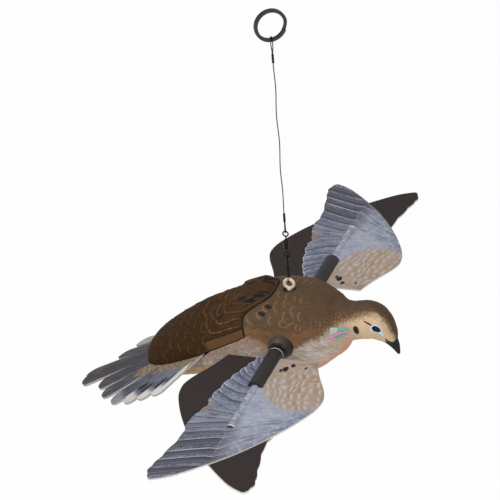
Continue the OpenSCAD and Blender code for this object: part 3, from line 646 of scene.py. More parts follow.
def makeBodyMesh():
    bm = newSkin()
    frontT = evenStations(bodySkin["frontStart"], lastStation, bodySkin["front"])
    rearT = evenStations(0, bodyForm["seamFront"], bodySkin["rear"])
    lowT = np.concatenate((rearT, frontT))
    verts, column, row = gridSheet(bm, len(lowT) - 1, bodySkin["low"])
    t = lowT[column]
    fade = np.clip((bodyForm["seamFront"] - t) / bodySkin["rimFade"], 0, 1)
    edge = np.interp(t, rimT, shellRim) + bodySkin["rimAir"] * fade
    setPoints(bm, verts, t, edge + (360 - 2 * edge) * row / bodySkin["low"])
    verts, column, row = gridSheet(bm, len(frontT) - 1, bodySkin["up"])
    setPoints(bm, verts, frontT[column], shellRim[-1] * (2 * row / bodySkin["up"] - 1))
    bmesh.ops.remove_doubles(bm, verts=bm.verts[:], dist=bodySkin["weld"])
    station = bm.verts.layers.float["station"]
    forward, height = bodyForm["stations"][-1][:2]
    ends = [v for v in bm.verts if v[station] > lastStation - bodySkin["tipReach"]]
    bmesh.ops.pointmerge(bm, verts=ends, merge_co=toFrame(np.array((forward, 0, height))))
    # round hole for the eye screw
    hole = bodyForm["eyeHole"] * mm
    top = bodyForm["shaft"][2] * mm
    inside = [v for v in bm.verts if math.hypot(v.co.x, v.co.y) < hole and v.co.z > top]
    bmesh.ops.delete(bm, geom=inside, context="VERTS")
    for v in bm.verts:
        reach = math.hypot(v.co.x, v.co.y)
        if v.is_boundary and reach < hole + bodySkin["eyeRing"] * mm and v.co.z > top:
            v.co.x *= hole / reach
            v.co.y *= hole / reach
    return closeSkin(bm, "body_shell", "body_skin")


# Rows of feather ends that bow toward the tail: the gap to the nearest end, how far aside, a tone, the depth
def featherRows(along, across, long, wide, bow):
    row = np.floor(along / long)
    near = np.full(len(along), 1e6)
    depth = np.full(len(along), 1e6)
    aside = np.zeros(len(along))
    tone = np.zeros(len(along))
    for step in (-1, 0, 1, 2):
        lane = across / wide + 0.5 * ((row + step) % 2)
        cell = np.floor(lane)
        side = np.abs(lane - cell - 0.5)
        own = chance(row + step, cell, 0, (12.9898, 78.233))
        gap = along - (row + step) * long - (own - 0.5) * long * 0.3 - bow * (2 * side) ** 2
        closer = np.abs(gap) < np.abs(near)
        near = np.where(closer, gap, near)
        aside = np.where(closer, side, aside)
        tone = np.where(closer, own, tone)
        depth = np.where((gap >= 0) & (gap < depth), gap, depth)
    return near, aside, tone, np.minimum(depth, long)


# Where the brown of the back meets the pale side, in the photograph's pixels from the cover to the bill,
# the light crescents with their heights, and the marks beside the cover
bodyPaint = {
    "border": [
        (246.5, 335), (250, 336), (255, 337.5), (261, 339.4), (267.5, 341.5), (293.5, 346), (300, 345.2),
        (305, 342.6), (308, 339.8), (311, 338), (315, 336.6), (319.3, 335), (324, 332.4), (330, 328.8),
        (337, 325), (343, 322.2), (350, 319.8), (357, 317.4), (364, 315.6), (371, 315), (378, 316.4),
        (383, 320), (387, 325), (391, 332)],
    "crescents": [
        (277.8, 294.5, 5.7), (285.8, 296.5, 4.6), (294.1, 299.3, 5.2), (273.6, 307.3, 11),
        (283.3, 304.1, 7.4), (290.6, 311.4, 10.5), (268.2, 321.3, 8), (282.3, 317.5, 10),
        (279.1, 324.2, 6.6), (297.8, 316.8, 8), (295.1, 328.4, 5.6), (300.6, 300.5, 6), (299.5, 330, 4.6)],
    "hooks": [[(247.3, 315.6), (246.3, 318.6), (247.4, 321.4), (250, 323.4), (253, 324.8)],
              [(284.9, 327.7), (289, 325), (293.1, 323.2)]],
    "spots": [(267.6, 307), (261.4, 314)],
    "bill": [(386.6, 341.6), (389.6, 341.9), (393.4, 341.8), (396.1, 338.9)],
    "scaleLong": 2.4,
    "scaleWide": 2.7,
    "markReach": 0.85,
    "markSoft": 0.6,
}


def paintBody(mesh, tree):
    t, a, points, arc, run = skinFields(mesh)
    x = points[:, 0]
    paint = np.tile(hexToLinear("#a3958b"), (len(t), 1))
    brush(paint, "#c1afa0", ease(t, 5.6, 6.8))
    relief = np.zeros(len(t))

    finder = KDTree(len(points))
    for i, p in enumerate(points):
        finder.insert(p, i)
    finder.balance()
    edges = {}
    for key in ("border", "bill"):
        spots = [finder.find(p)[1] for p in onSkin(tree, bodyPaint[key])]
        edges[key] = np.array([(swept(t[i:i + 1], a[i:i + 1])[0], a[i]) for i in spots])
    flow = swept(t, a)
    edge = edges["border"][np.argsort(edges["border"][:, 0])]
    border = np.interp(flow, edge[:, 0], edge[:, 1])
    neck = ease(t, 6.5, 7.3)
    head = ease(t, 7.7, 8.7)
    ragged = (blotches(run, arc, 5, 1) - 0.5) * 4 + (blotches(run, arc, 2, 2) - 0.5) * (3 + 4 * neck)
    ragged += (blotches(run, arc, 0.8, 5) - 0.5) * (3 + 12 * neck)
    below = a - border - 2 * (1 - neck) + ragged

    # hair of the breast, laid back and down
    hair = blotches((run + 0.6 * arc) * 0.24, arc - 0.6 * run, 1.5, 11) * 0.55
    hair += blotches((run - 0.5 * arc) * 0.3, arc + 0.5 * run, 1.1, 12) * 0.45
    pale = ease(below, 0, 7) * ease(8.3 - t, 0, 1.3)
    mottled(paint, hair, ("#83695a", 0.5, 0.8, 0.5), ("#d8cdc4", 0.5, 0.2, 0.55), pale)
    relief += pale * (0.5 - hair) * 0.8
    # tan under the brown, ochre under the rear, pink on the throat
    brush(paint, "#8f7155", ease(22 - below, 0, 22) * ease(6 - x, 0, 20) * 0.75)
    brush(paint, "#c4a686", ease(x, 30, 44) * 0.85)
    brush(paint, "#d9bb97", ease(x, 46, 56))
    ochre = ease(a, 94, 106) * ease(-18 - x + 24 * (hair - 0.5), 0, 30)
    brush(paint, "#c0935c", ochre * 0.94)
    mottled(paint, hair, ("#a67a48", 0.5, 0.8, 0.4), ("#d6b283", 0.5, 0.2, 0.4), ochre)
    brush(paint, "#d49c80", ease(a, 121, 143) * ease(t, 5.7, 6.6) * ease(8.9 - t, 0, 0.7) * 0.95)
    # small scales down the neck
    near, _, _, depth = featherRows(run + 200, arc, bodyPaint["scaleLong"], bodyPaint["scaleWide"], 1.0)
    scaly = ease(t, 6.3, 6.9) * ease(9.2 - t, 0, 0.8) * ease(40 - np.abs(below), 0, 24)
    relief += scaly * 0.5 * (1 - depth / bodyPaint["scaleLong"])

    # brown back, darker along the spine, with a wide soft edge on the neck and the crown
    soft = np.minimum(3.5 + 15 * neck + 4 * head, 0.5 * border + 2)
    brown = ease(-below / soft, -1, 1)
    brush(paint, "#6f5138", brown)
    brush(paint, "#5a4531", brown * ease(-below, 3, 22))
    brush(paint, "#574433", brown * head * ease(-below, 4, 34))
    brush(paint, "#78583d", brown * ease(below, -21, -12) * (1 - neck))
    brush(paint, "#94714c", scaly * ease(depth, 1.1, 2.4) * 0.7 * ease(-14 - below, -14, 4))
    brush(paint, "#4f3a28", scaly * ease(0.7 - np.abs(near), 0, 0.5) * 0.6 * ease(below, 16, -6))
    mottle = blotches(run * 0.6, arc, 2.0, 3) * 0.55 + blotches(run * 0.5 + arc * 0.3, arc, 1.1, 4) * 0.45
    mottled(paint, mottle, ("#493828", 0.52, 0.9, 0.4), ("#7c6044", 0.45, 0.1, 0.3), brown)
    relief += brown * (1 - neck) * (mottle - 0.5) * 0.55
    # light crescents that bow toward the tail
    reach, softEdge = bodyPaint["markReach"], bodyPaint["markSoft"]
    for px, py, tall in bodyPaint["crescents"]:
        bow = [(px + 0.24 * tall * k * k, py + tall * 0.5 * k) for k in np.linspace(-1, 1, 7)]
        places = onSkin(tree, bow)
        if len(places) > 2:
            mark = strokeMask(points, places, reach, softEdge)
            brush(paint, "#8a6442", mark * 0.85)
            relief += mark * 0.25
    for hook in bodyPaint["hooks"]:
        mark = strokeMask(points, onSkin(tree, hook), reach, softEdge)
        brush(paint, "#8a6442", mark * 0.8)
        relief += mark * 0.2
    for px, py in bodyPaint["spots"]:
        turns = [0.4 * k for k in range(-4, 4)]
        rim = [(px + 0.4 - 5.0 * math.cos(w), py + 0.6 + 4.2 * math.sin(w)) for w in turns]
        brush(paint, "#8d6440", strokeMask(points, onSkin(tree, rim), 0.95, 0.65))
        spot = onSkin(tree, [(px - 1.4, py - 1.2), (px + 1.8, py + 0.6)])
        brush(paint, "#1f1d20", strokeMask(points, spot, 2.2, softEdge))
    # black bill behind a slanting edge
    edge = edges["bill"][np.argsort(edges["bill"][:, 1])]
    brush(paint, "#272322", ease(t - np.interp(a, edge[:, 1], edge[:, 0]), -0.06, 0.06))
    brush(paint, "#14100d", readLayer(mesh, "tucked"))
    start = bodySkin["frontStart"]
    seam = ease(start + 0.009 - t, 0, 0.005) * ease(t, bodyForm["seamFront"], start)
    brush(paint, "#17110d", seam * (a < shellRim[-1]))
    lay = np.stack((run + 0.45 * arc, arc - 0.45 * run), 1)
    writePaint(mesh, paint, lay, relief, 0.55 + 0.45 * pale * (1 - brown))


# Sprayed paint on a moulded skin: dull, with hair combed back that breaks up the light
bodyMaterial = makePlumage("polyethylene, blow moulded and airbrushed", 0.62, (3.4, 0.8), 0.22, 0.3)
bodyMesh, bodyTree = makeBodyMesh()
paintBody(bodyMesh, bodyTree)
addObject("body_skin", bodyMesh, "bird", bodyMaterial)
print("body skin:", len(bodyMesh.polygons), "faces")

# Cover skin over the rear of the back
coverSkin = {"long": 300, "round": 250, "frontGap": 0.024, "rimAir": 0.45}


def makeCoverMesh():
    bm = newSkin()
    coverT = evenStations(0, bodyForm["seamFront"] - coverSkin["frontGap"], coverSkin["long"])
    verts, column, row = gridSheet(bm, coverSkin["long"], coverSkin["round"])
    t = coverT[column]
    edge = np.interp(t, rimT, coverRim) - coverSkin["rimAir"]
    setPoints(bm, verts, t, edge * (2 * row / coverSkin["round"] - 1))
    return closeSkin(bm, "back_cover", "cover_skin")


# Stroke of the photograph drawn as a smooth curve through its points
def smoothStroke(pixels):
    return alongRows(pixels, np.arange(0, len(pixels) - 0.9, 0.2))


# Marks of the cover in the photograph's pixels: black spots, rufous edges of the long feathers, a painted
# highlight along the front rim, arcs, and the top of the side band
coverPaint = {
    "spots": [((247.2, 284), (253.9, 281.1), 1.5), ((251, 286.6), (255.5, 285.3), 2.0),
              ((265.1, 281.3), (272.7, 281.1), 0.7), ((266, 284.8), (274.6, 284.8), 1.0),
              ((255.8, 298.2), (262.8, 297.6), 1.7), ((247.5, 303.8), (253.6, 303.3), 1.9),
              ((227.4, 310.2), (232.9, 307.9), 1.0), ((218.2, 318.5), (223, 315), 0.9)],
    "edges": [
        (0.8, [(247.1, 299), (249.4, 300.1), (253.3, 301.1), (257.2, 301.4), (261.8, 301.1)]),
        (0.9, [(234.1, 304.9), (235.8, 306.2), (240.3, 306.4), (245.5, 306.2), (251.4, 305.8)]),
        (0.9, [(224.7, 310.7), (225.4, 313.3), (229.3, 314.9), (235.1, 314.4), (244.9, 312.4)]),
        (1.6, [(216.3, 320.5), (217.2, 323.8), (220.8, 324.7), (228, 323.4), (233.8, 320.9), (240.3, 319.2)]),
        (1.7, [(209.6, 330.3), (211, 332.9), (219.3, 332.4), (230.6, 328.9), (238.9, 327)]),
        (0.5, [(249.1, 286.6), (250.6, 284), (253, 281.8), (257.4, 280.2), (265, 279.8), (275.9, 280.4)]),
        (0.5, [(249.8, 288.5), (253, 289.4), (255.5, 286.6), (259.3, 283.4), (264.4, 282.4), (275.9, 282.9)]),
        (0.4, [(256.1, 278.7), (263.8, 277.6), (278.5, 278)]),
        # the last is a painted highlight along the cover's front rim, not a feather's edge
        (0.2, [(277.2, 283.4), (271.5, 292.6), (261.9, 300.6), (252.3, 306.7), (244.7, 312.4)])],
    "arcs": [
        [(208.3, 304.4), (204.5, 309.2), (204.1, 313), (206.4, 316.9)],
        [(221.1, 303.8), (217.9, 309.2), (216.9, 313), (218.5, 316.2)],
        [(225.8, 302.8), (223.9, 307.9), (224.9, 310.8)],
        [(216.3, 305.4), (211.8, 310.5), (211.2, 314.3), (214.4, 319.7)],
        [(207.7, 318.8), (206.1, 323.9), (208, 328.7)], [(228.1, 294.5), (226.5, 296.8), (226.8, 299.6)],
        [(239.6, 293.3), (237.6, 296.5), (238.3, 299.6)], [(244.7, 293.3), (242.7, 296.1), (243.7, 298.7)],
        [(235.1, 293.9), (234.1, 296.5), (234.8, 299)]],
    "band": [(205.7, 341.8), (212.8, 338.9), (221.1, 336.6), (228.7, 333.8), (238.9, 330), (243, 330.6)],
    "arcLong": 9.0,
    "arcWide": 12.5,
    "arcBow": 4.2,
    "bump": 2.5,
}


def paintCover(mesh, tree):
    t, a, points, arc, run = skinFields(mesh)
    x, z = points[:, 0], points[:, 2]
    paint = np.tile(hexToLinear("#3d2913"), (len(t), 1))
    brush(paint, "#46321d", ease(x, -62, -22))
    # overlapping feathers of the rear, each end a thin rufous bow with painted shade just past it
    wander = arc + (blotches(run, arc, 9, 8) - 0.5) * 4
    near, aside, tone, depth = featherRows(run, wander, coverPaint["arcLong"], coverPaint["arcWide"],
                                           coverPaint["arcBow"])
    rear = ease(-44 - x, 0, 9)
    relief = (0.5 * rear + 0.1 * (1 - rear)) * (1 - depth / coverPaint["arcLong"])
    # painted shade under the step just past each feather's end
    brush(paint, "#2c1d10", rear * ease(-near, 0, 0.3) * ease(2.4 + near, 0, 2.2) * 0.6)
    bow = ease(0.75 - np.abs(near - 0.3), 0, 0.5) * ease(0.44 - aside, 0, 0.14)
    brush(paint, "#71492a", rear * bow * (0.35 + 0.6 * tone))
    mottle = blotches(run * 0.5, arc, 1.6, 6) * 0.6 + blotches(run * 0.3, arc, 0.9, 7) * 0.4
    mottled(paint, mottle, ("#291b0f", 0.52, 0.9, 0.45), ("#553b21", 0.42, 0.1, 0.35))
    relief += (mottle - 0.5) * 0.14
    # smooth side band under a dark line
    band = onSkin(tree, coverPaint["band"])
    band = band[np.argsort(band[:, 0])]
    top = np.interp(x, band[:, 0], band[:, 2])
    inBand = ease(x, band[0, 0] - 4, band[0, 0] + 2) * ease(a, 40, 50)
    brush(paint, "#62462c", ease(top - z, -0.3, 0.3) * inBand)
    brush(paint, "#291b10", ease(0.75 - np.abs(z - top), 0, 0.5) * inBand * 0.8)
    relief *= 1 - 0.8 * ease(top - z, -0.3, 0.3) * inBand
    for pixels in coverPaint["arcs"]:
        mark = strokeMask(points, onSkin(tree, smoothStroke(pixels)), 0.75, 0.55)
        brush(paint, "#74502f", mark * 0.7)
        relief += mark * 0.25
    # rufous edges, worn patchy where wide, and the painted highlight along the front rim
    for wide, pixels in coverPaint["edges"]:
        places = onSkin(tree, smoothStroke(pixels))
        reach = wide * 0.5 + 0.4
        worn = 0.45 + 0.55 * ease(mottle, 0.7, 0.3) if wide > 1 else 0.85
        brush(paint, "#281a0f", strokeMask(points, places, reach + 1.3, 1.2) * 0.45)
        brush(paint, "#7a5431", strokeMask(points, places, reach, 0.6 + 0.4 * wide) * worn)
        relief += strokeMask(points, places, reach, 0.7) * 0.35
    for first, last, wide in coverPaint["spots"]:
        brush(paint, "#1d1a1b", strokeMask(points, onSkin(tree, [first, last]), wide * 0.9 + 0.6, 0.6))
    brush(paint, "#140f0b", readLayer(mesh, "tucked"))
    brush(paint, "#170f0a", ease(t, bodyForm["seamFront"] - 0.034, bodyForm["seamFront"] - 0.026))
    # raised shoulder feathers that end in a step
    step = -27 + 1.2 * np.cos(arc / 4) - 0.45 * arc
    relief += coverPaint["bump"] * ease(x - step, -2.5, 2.5) * ease(1 - x, 0, 9) * ease(50 - arc, 0, 26)
    relief *= ease(np.interp(t, rimT, coverRim) - a, 0.3, 3)
    relief *= ease(bodyForm["seamFront"] - t, 0.03, 0.12) * ease(t, 0, 0.2)
    writePaint(mesh, paint, np.stack((run, arc), 1), relief, 0.5)


coverMesh, coverTree = makeCoverMesh()
paintCover(coverMesh, coverTree)
# Sprayed brown on moulded feathers: almost no shine, so that their relief alone catches the light
coverMaterial = makePlumage("polyethylene, moulded and airbrushed brown", 0.68, (3.0, 0.6), 0.18, 0.26, 0.1)
addObject("cover_skin", coverMesh, "cover", coverMaterial)
print("cover skin:", len(coverMesh.polygons), "faces")

# Wing panels: outline shares of length and depth, in percent
wingForm = {
    "length": 178.0,
    "chord": 96.0,
    "root": 58.1625,
    "thick": 1.4,
    "leading": [(0, 38), (10, 45), (22.5, 56), (30.5, 58.5), (40.5, 54), (57.5, 38), (77, 12.5), (94.5, -19),
                (100, -35.5)],
    "primaries": [(100, -37.5), (94, -41.5), (83.5, -38), (67, -33), (56, -34.5), (45, -29.5), (41.5, -26.5)],
    "secondaries": [(41.5, -26.5), (36, -28.5), (20, -23), (9, -16), (0, -10)],
    "primaryEnds": 9,
    "secondaryEnds": 8,
    "scallop": 1.6,
    "primaryScallop": 0.9,
    "ridge": 3.4,
    "ridgeLength": 102.0,
    "sleeveEnd": 44.0,
    "lift": 0.06,
    "inset": 0.06,
    "rootInset": 0.05,
    "cover": 0.9994,
    "edgeSamples": 600,
    "long": 330,
    "deep": 170,
    "ridgeLong": 120,
    "ridgeRound": 20,
}


def wingCurve(shape, ends, bulge):
    rows = np.array(shape) * np.array((wingForm["length"], wingForm["chord"])) / 100
    t = np.linspace(0, len(shape) - 1, wingForm["edgeSamples"])
    curve = alongRows(rows, t)
    if ends:
        f = t / (len(shape) - 1) * ends
        curve[:, 1] -= bulge * np.sin(np.pi * (f - np.floor(f)))
    return curve


leadingEdge = wingCurve(wingForm["leading"], 0, 0)
trailingEdge = np.concatenate((
    wingCurve(wingForm["primaries"], wingForm["primaryEnds"], wingForm["primaryScallop"]),
    wingCurve(wingForm["secondaries"], wingForm["secondaryEnds"], wingForm["scallop"])))[::-1]


def leadAt(u):
    return np.interp(u, leadingEdge[:, 0], leadingEdge[:, 1])


def trailAt(u):
    return np.interp(u, trailingEdge[:, 0], trailingEdge[:, 1])


# Flight feathers: where each starts on the trailing edge, and where its line meets the ridge
wingFeathers = {
    "ends": [
        -9, 0, 9, 18.2, 25, 33, 43.6, 52.6, 62.6, 70.4, 79.5, 91.4, 102.8, 115.3, 127, 143.2, 154.1, 166.7,
        178, 190],
    "firstPrimary": 70.4,
    "edgeAt": [-20, 0, 18.2, 44, 62.6, 70.4, 79.5, 91.4, 102.8, 115.3, 143.2, 166.7, 200],
    "ridgeAt": [-10, 12, 31, 54.2, 78.5, 81, 83, 90.8, 94.5, 106.3, 131.5, 154.6, 186],
    "spots": [(14, 14.8, 3.5), (16.5, 12, 2.2), (8.3, 19.4, 2.8), (9.9, 30, 1.8)],
    "covertV": [-4, 3, 7, 12, 18, 30, 47, 55],
    "covertU": [38, 40, 43.5, 55, 64, 70, 73, 60],
    "samples": 1101,
    "levels": 8,
    "ridgeBand": 6,
    "covertSize": 5.6,
    "covertStep": 1.1,
    "shaftLine": [(109, -1.6), (116, -0.4), (125, -0.9), (136, -0.3)],
}


# Place of each point along the trailing edge, followed back along its feather, worked out a level at a time
def featherPlace(u, v):
    n = np.linspace(wingFeathers["edgeAt"][0], wingFeathers["edgeAt"][-1], wingFeathers["samples"])
    ridgeAt = np.interp(n, wingFeathers["edgeAt"], wingFeathers["ridgeAt"])
    band = wingFeathers["ridgeBand"]
    deep = np.maximum(-trailAt(n) - band, 3)
    primary = ease(n, 66, 82)
    fan = 0.25 + 0.6 * ease(n, 85, 150)
    place = np.zeros(len(u))
    level = np.rint(v * wingFeathers["levels"]).astype(int)
    for k in np.unique(level):
        w = k / wingFeathers["levels"]
        q = np.clip((-w - band) / deep, 0, 1) ** (1.7 - 0.6 * primary)
        row = n * q + ridgeAt * (1 - q) - fan * max(w, 0)
        here = level == k
        place[here] = np.interp(u[here], row, n)
    return place


def paintWing(u, v):
    paint = np.tile(hexToLinear("#a5aaba"), (len(u), 1))
    n = featherPlace(u, v)
    count = np.interp(n, wingFeathers["ends"], np.arange(len(wingFeathers["ends"])))
    f = count - np.floor(count)
    fromTrail = v - trailAt(u)
    first = wingFeathers["firstPrimary"]
    # mottled blue-grey, streaked along the feathers
    streak = blotches(n, v * 0.14, 1.2, 1) * 0.6 + blotches(n, v * 0.3, 2.4, 2) * 0.4
    flecks = blotches(u, v, 1.5, 61) * 0.5 + blotches(u, v, 3.4, 62) * 0.5
    streak += (flecks - streak) * 0.7 * ease(v, 0, 8)
    barbs = blotches(n + v * 0.5, v * 0.5 - n * 0.1, 0.9, 3)
    cloud = blotches(u, v, 9, 21) * 0.6 + blotches(u, v, 3.5, 22) * 0.4
    mottled(paint, streak, ("#74788d", 0.45, 0.85, 0.5), ("#c3c6d2", 0.45, 0.15, 0.6))
    mottled(paint, cloud, ("#bcc0cb", 0.48, 0.8, 0.5), ("#7f8294", 0.42, 0.15, 0.35))
    # dark strokes that fan from the ridge's end toward the leading edge
    rays = blotches(n, v * 0.07, 3.0, 5) * 0.6 + blotches(n, v * 0.12, 1.5, 6) * 0.4
    fan = ease(n, 88, 106) * ease(v, 0, 6) * ease(174 - n, 0, 14)
    patchy = 0.4 + 0.6 * ease(blotches(u, v, 7, 23), 0.3, 0.6)
    brush(paint, "#5a5d70", fan * patchy * ease(rays, 0.5, 0.7) * 0.6)
    brush(paint, "#c3c6cf", fan * ease(rays, 0.42, 0.2) * 0.3)
    fromLead = leadAt(u) - v
    brush(paint, "#6e7186", ease(20 - fromLead, 0, 18) * ease(n, 40, 70) * ease(flecks, 0.25, 0.6) * 0.6)
    # secondaries: a dark line, a mottled vane, a white edge near its end
    secondary = ease(2.5 - v, 0, 4) * ease(first - n, -0.5, 1.0)
    brush(paint, "#565a70", secondary * (0.5 + 0.3 * ease(barbs, 0.35, 0.7)))
    brush(paint, "#4b4f63", secondary * ease(0.42 - f, 0, 0.42) * 0.75)
    brush(paint, "#9a9fb3", secondary * ease(f, 0.5, 0.8) * ease(cloud, 0.35, 0.65) * 0.4)
    brush(paint, "#292c3c", secondary * ease(0.12 - f, 0, 0.1) * 0.6)
    whiteEdge = ease(n, 4, 20) * ease(f, 0.88, 0.95) * ease(8 - fromTrail, 0, 6)
    brush(paint, "#e2e2e7", secondary * whiteEdge * 0.8)
    brush(paint, "#d9d9df", secondary * ease(0.9 - fromTrail, 0, 0.6) * 0.5)
    # primaries: slate, darker to the tip, each with a thin pale edge beside a dark one
    primary = ease(12 + 0.06 * (n - 100) - v, 0, 20) * ease(n, first - 0.5, first + 1.5)
    lean = f + (streak - 0.5) * 0.3
    brush(paint, "#7c7f93", primary * 0.6)
    brush(paint, "#4a4954", primary * ease(n, 84, 138) * 0.85)
    brush(paint, "#3d3c47", primary * ease(0.5 - lean, 0, 0.45) * 0.42)
    half = 2 * f - np.floor(2 * f)
    brush(paint, "#383742", primary * ease(0.24 - half, 0, 0.18) * 0.4)
    brush(paint, "#a9acba", primary * ease(half, 0.84, 0.93) * 0.3)
    brush(paint, "#2b2b35", primary * ease(0.14 - f, 0, 0.1) * 0.6)
    brush(paint, "#999daf", primary * ease(lean, 0.5, 0.8) * ease(barbs, 0.3, 0.6) * 0.5)
    brush(paint, "#3a3a46", primary * ease(streak, 0.55, 0.8) * 0.5)
    plain = 0.15 + 0.45 * ease(n, 85, 120) + 0.25 * ease(n, 130, 150)
    thin = ease(f, 0.91, 0.96) * plain * ease(blotches(n, v * 0.1, 3, 33), 0.25, 0.5)
    brush(paint, "#cfd1d8", primary * thin)
    tanEnd = ease(7 - fromTrail, 0, 4) * ease(n, first - 2, first + 0.5) * ease(89 - n, 0, 6)
    brush(paint, "#938171", tanEnd * 0.8)
    line = np.array(wingFeathers["shaftLine"])
    off = np.abs(v - np.interp(u, line[:, 0], line[:, 1]))
    brush(paint, "#c9ccd5", ease(0.5 - off, 0, 0.4) * ease(u, 108, 111) * ease(137 - u, 0, 3) * 0.3)
    # tan coverts of soft round scales at the front of the root
    edge = np.interp(v, wingFeathers["covertV"], wingFeathers["covertU"])
    edge = edge + (cloud - 0.5) * 16 + (barbs - 0.5) * 8
    tan = ease(edge - u, -5, 5) * ease(v, -2, 3)
    warpU = 0.62 * (u + (blotches(u, v, 9, 51) - 0.5) * 5)
    warpV = v - 0.2 * u + (blotches(u, v, 9, 52) - 0.5) * 5
    size, step = wingFeathers["covertSize"], wingFeathers["covertStep"]
    gap, tone = roundCells(warpU, warpV, size, 7)
    slope = roundCells(warpU, warpV + step, size, 7)[0] - roundCells(warpU, warpV - step, size, 7)[0]
    scaled = tan * ease(u + v * 0.5, 22, 38)
    brush(paint, "#b29d8c", tan * 0.96)
    mottled(paint, tone, ("#9c8066", 0.5, 0.8, 0.5), ("#aea8a6", 0.45, 0.2, 0.45), scaled)
    mottled(paint, slope, ("#d3c6ba", 0, 1.1, 0.5), ("#8f7a66", 0, -1.1, 0.4), scaled)
    brush(paint, "#866f5b", scaled * ease(0.5 - gap, 0, 0.5) * 0.25)
    brush(paint, "#a3a4ad", tan * ease(cloud, 0.55, 0.8) * 0.3)
    brush(paint, "#a5a6b0", tan * ease(edge - u, 9, 0) * ease(barbs, 0.3, 0.6) * 0.5)
    hatch = blotches(u * 0.9, v * 0.25, 1.3, 31)
    brush(paint, "#8d7c6d", tan * (1 - scaled) * ease(hatch, 0.5, 0.9) * 0.5)
    brush(paint, "#94785a", tan * ease(v, 30, 37) * ease(12 - u, 0, 9) * 0.7)
    for su, sv, reach in wingFeathers["spots"]:
        away = np.hypot(u - su, (v - sv) * 1.4) + (blotches(u, v, 1.4, 41) - 0.5) * 1.4
        brush(paint, "#232126", ease(reach - away, -0.3, 0.5))
    return paint


# Panel turned over or mirrored into its place round the shaft, in metres
def wingPlace(u, v, z, side, over):
    turn = -1 if over else 1
    local = np.stack((v * turn, side * (u + wingForm["root"]), z * turn), -1)
    return (local + shaftPlace) * mm


# The left sheets are turned over, because u to the side and v forward leave their faces down
def makeWingSkin(name, side, over):
    bm = bmesh.new()
    verts, column, row = gridSheet(bm, wingForm["long"], wingForm["deep"])
    u = wingForm["length"] * (column / wingForm["long"]) * wingForm["cover"] + wingForm["rootInset"]
    low, high = trailAt(u) + wingForm["inset"], leadAt(u) - wingForm["inset"]
    v = low + (high - low) * (row / wingForm["deep"])
    z = np.full(len(u), wingForm["thick"] + wingForm["lift"])
    mesh = laidSheet(bm, name, verts, wingPlace(u, v, z, side, over), side > 0)
    writePaint(mesh, paintWing(u, v), np.stack((v, u), 1))
    addObject(name, mesh, "rotor", wingMaterial)


def makeRidgeSkin(name, side, over):
    bm = bmesh.new()
    verts, column, row = gridSheet(bm, wingForm["ridgeLong"], wingForm["ridgeRound"])
    start, end = wingForm["sleeveEnd"] - 1, wingForm["ridgeLength"]
    u = start + (end - wingForm["rootInset"] - start) * column / wingForm["ridgeLong"]
    low = math.asin(wingForm["thick"] / wingForm["ridge"])
    turn = math.pi - low - (math.pi - 2 * low) * row / wingForm["ridgeRound"]
    reach = wingForm["ridge"] + wingForm["lift"]
    v, z = np.cos(turn) * reach, np.sin(turn) * reach
    mesh = laidSheet(bm, name, verts, wingPlace(u, v, z, side, over), side > 0)
    paint = paintWing(u, v)
    brush(paint, "#a3a7b6", np.full(len(u), 0.6))
    wear = blotches(u, turn * wingForm["ridge"], 1.6, 7)
    mottled(paint, wear, ("#7d8294", 0.4, 0.1, 0.6), ("#d2d0cd", 0.66, 0.92, 0.6))
    brush(paint, "#e0d8c6", ease(u, end - 2.2, end - 1.2))
    writePaint(mesh, paint, np.stack((v, u), 1))
    addObject(name, mesh, "rotor", wingMaterial)


# Printed film: flat and matt, with the barbs of the feathers as a slight grain
wingMaterial = makePlumage("vinyl film, printed matt", 0.5, (1.8, 0.8), 0.03, 0.26)
for side, word in ((1, "left"), (-1, "right")):
    for over, face in ((False, "top"), (True, "bottom")):
        makeWingSkin("wing_print_" + face + "_" + word, side, over)
        makeRidgeSkin("ridge_print_" + face + "_" + word, side, over)
print("wing prints laid")

# Tail feathers as overlapping vanes on the fan
tailForm = {
    "fanX": -39.0,
    "angles": [2, 10, 18.5, 28.5, 36, 42, 49],
    "lengths": [164, 141.04, 135.3, 127.1, 117.26, 107.42, 98.4],
    "starts": [90, 88, 80, 64, 56, 52, 48],
    "tip": 8.0,
    "root": 5.0,
    "base": ["#4b484b", "#4c4b50", "#505058", "#5a5c69", "#6d7185", "#797e93", "#888d9e"],
    "farBase": "#b4b1ad",
    "covertFrom": 2,
    "air": 0.08,
    "layer": 0.045,
    "tipInset": 0.12,
    "sideInset": 0.03,
    "long": 110,
    "wide": 26,
}


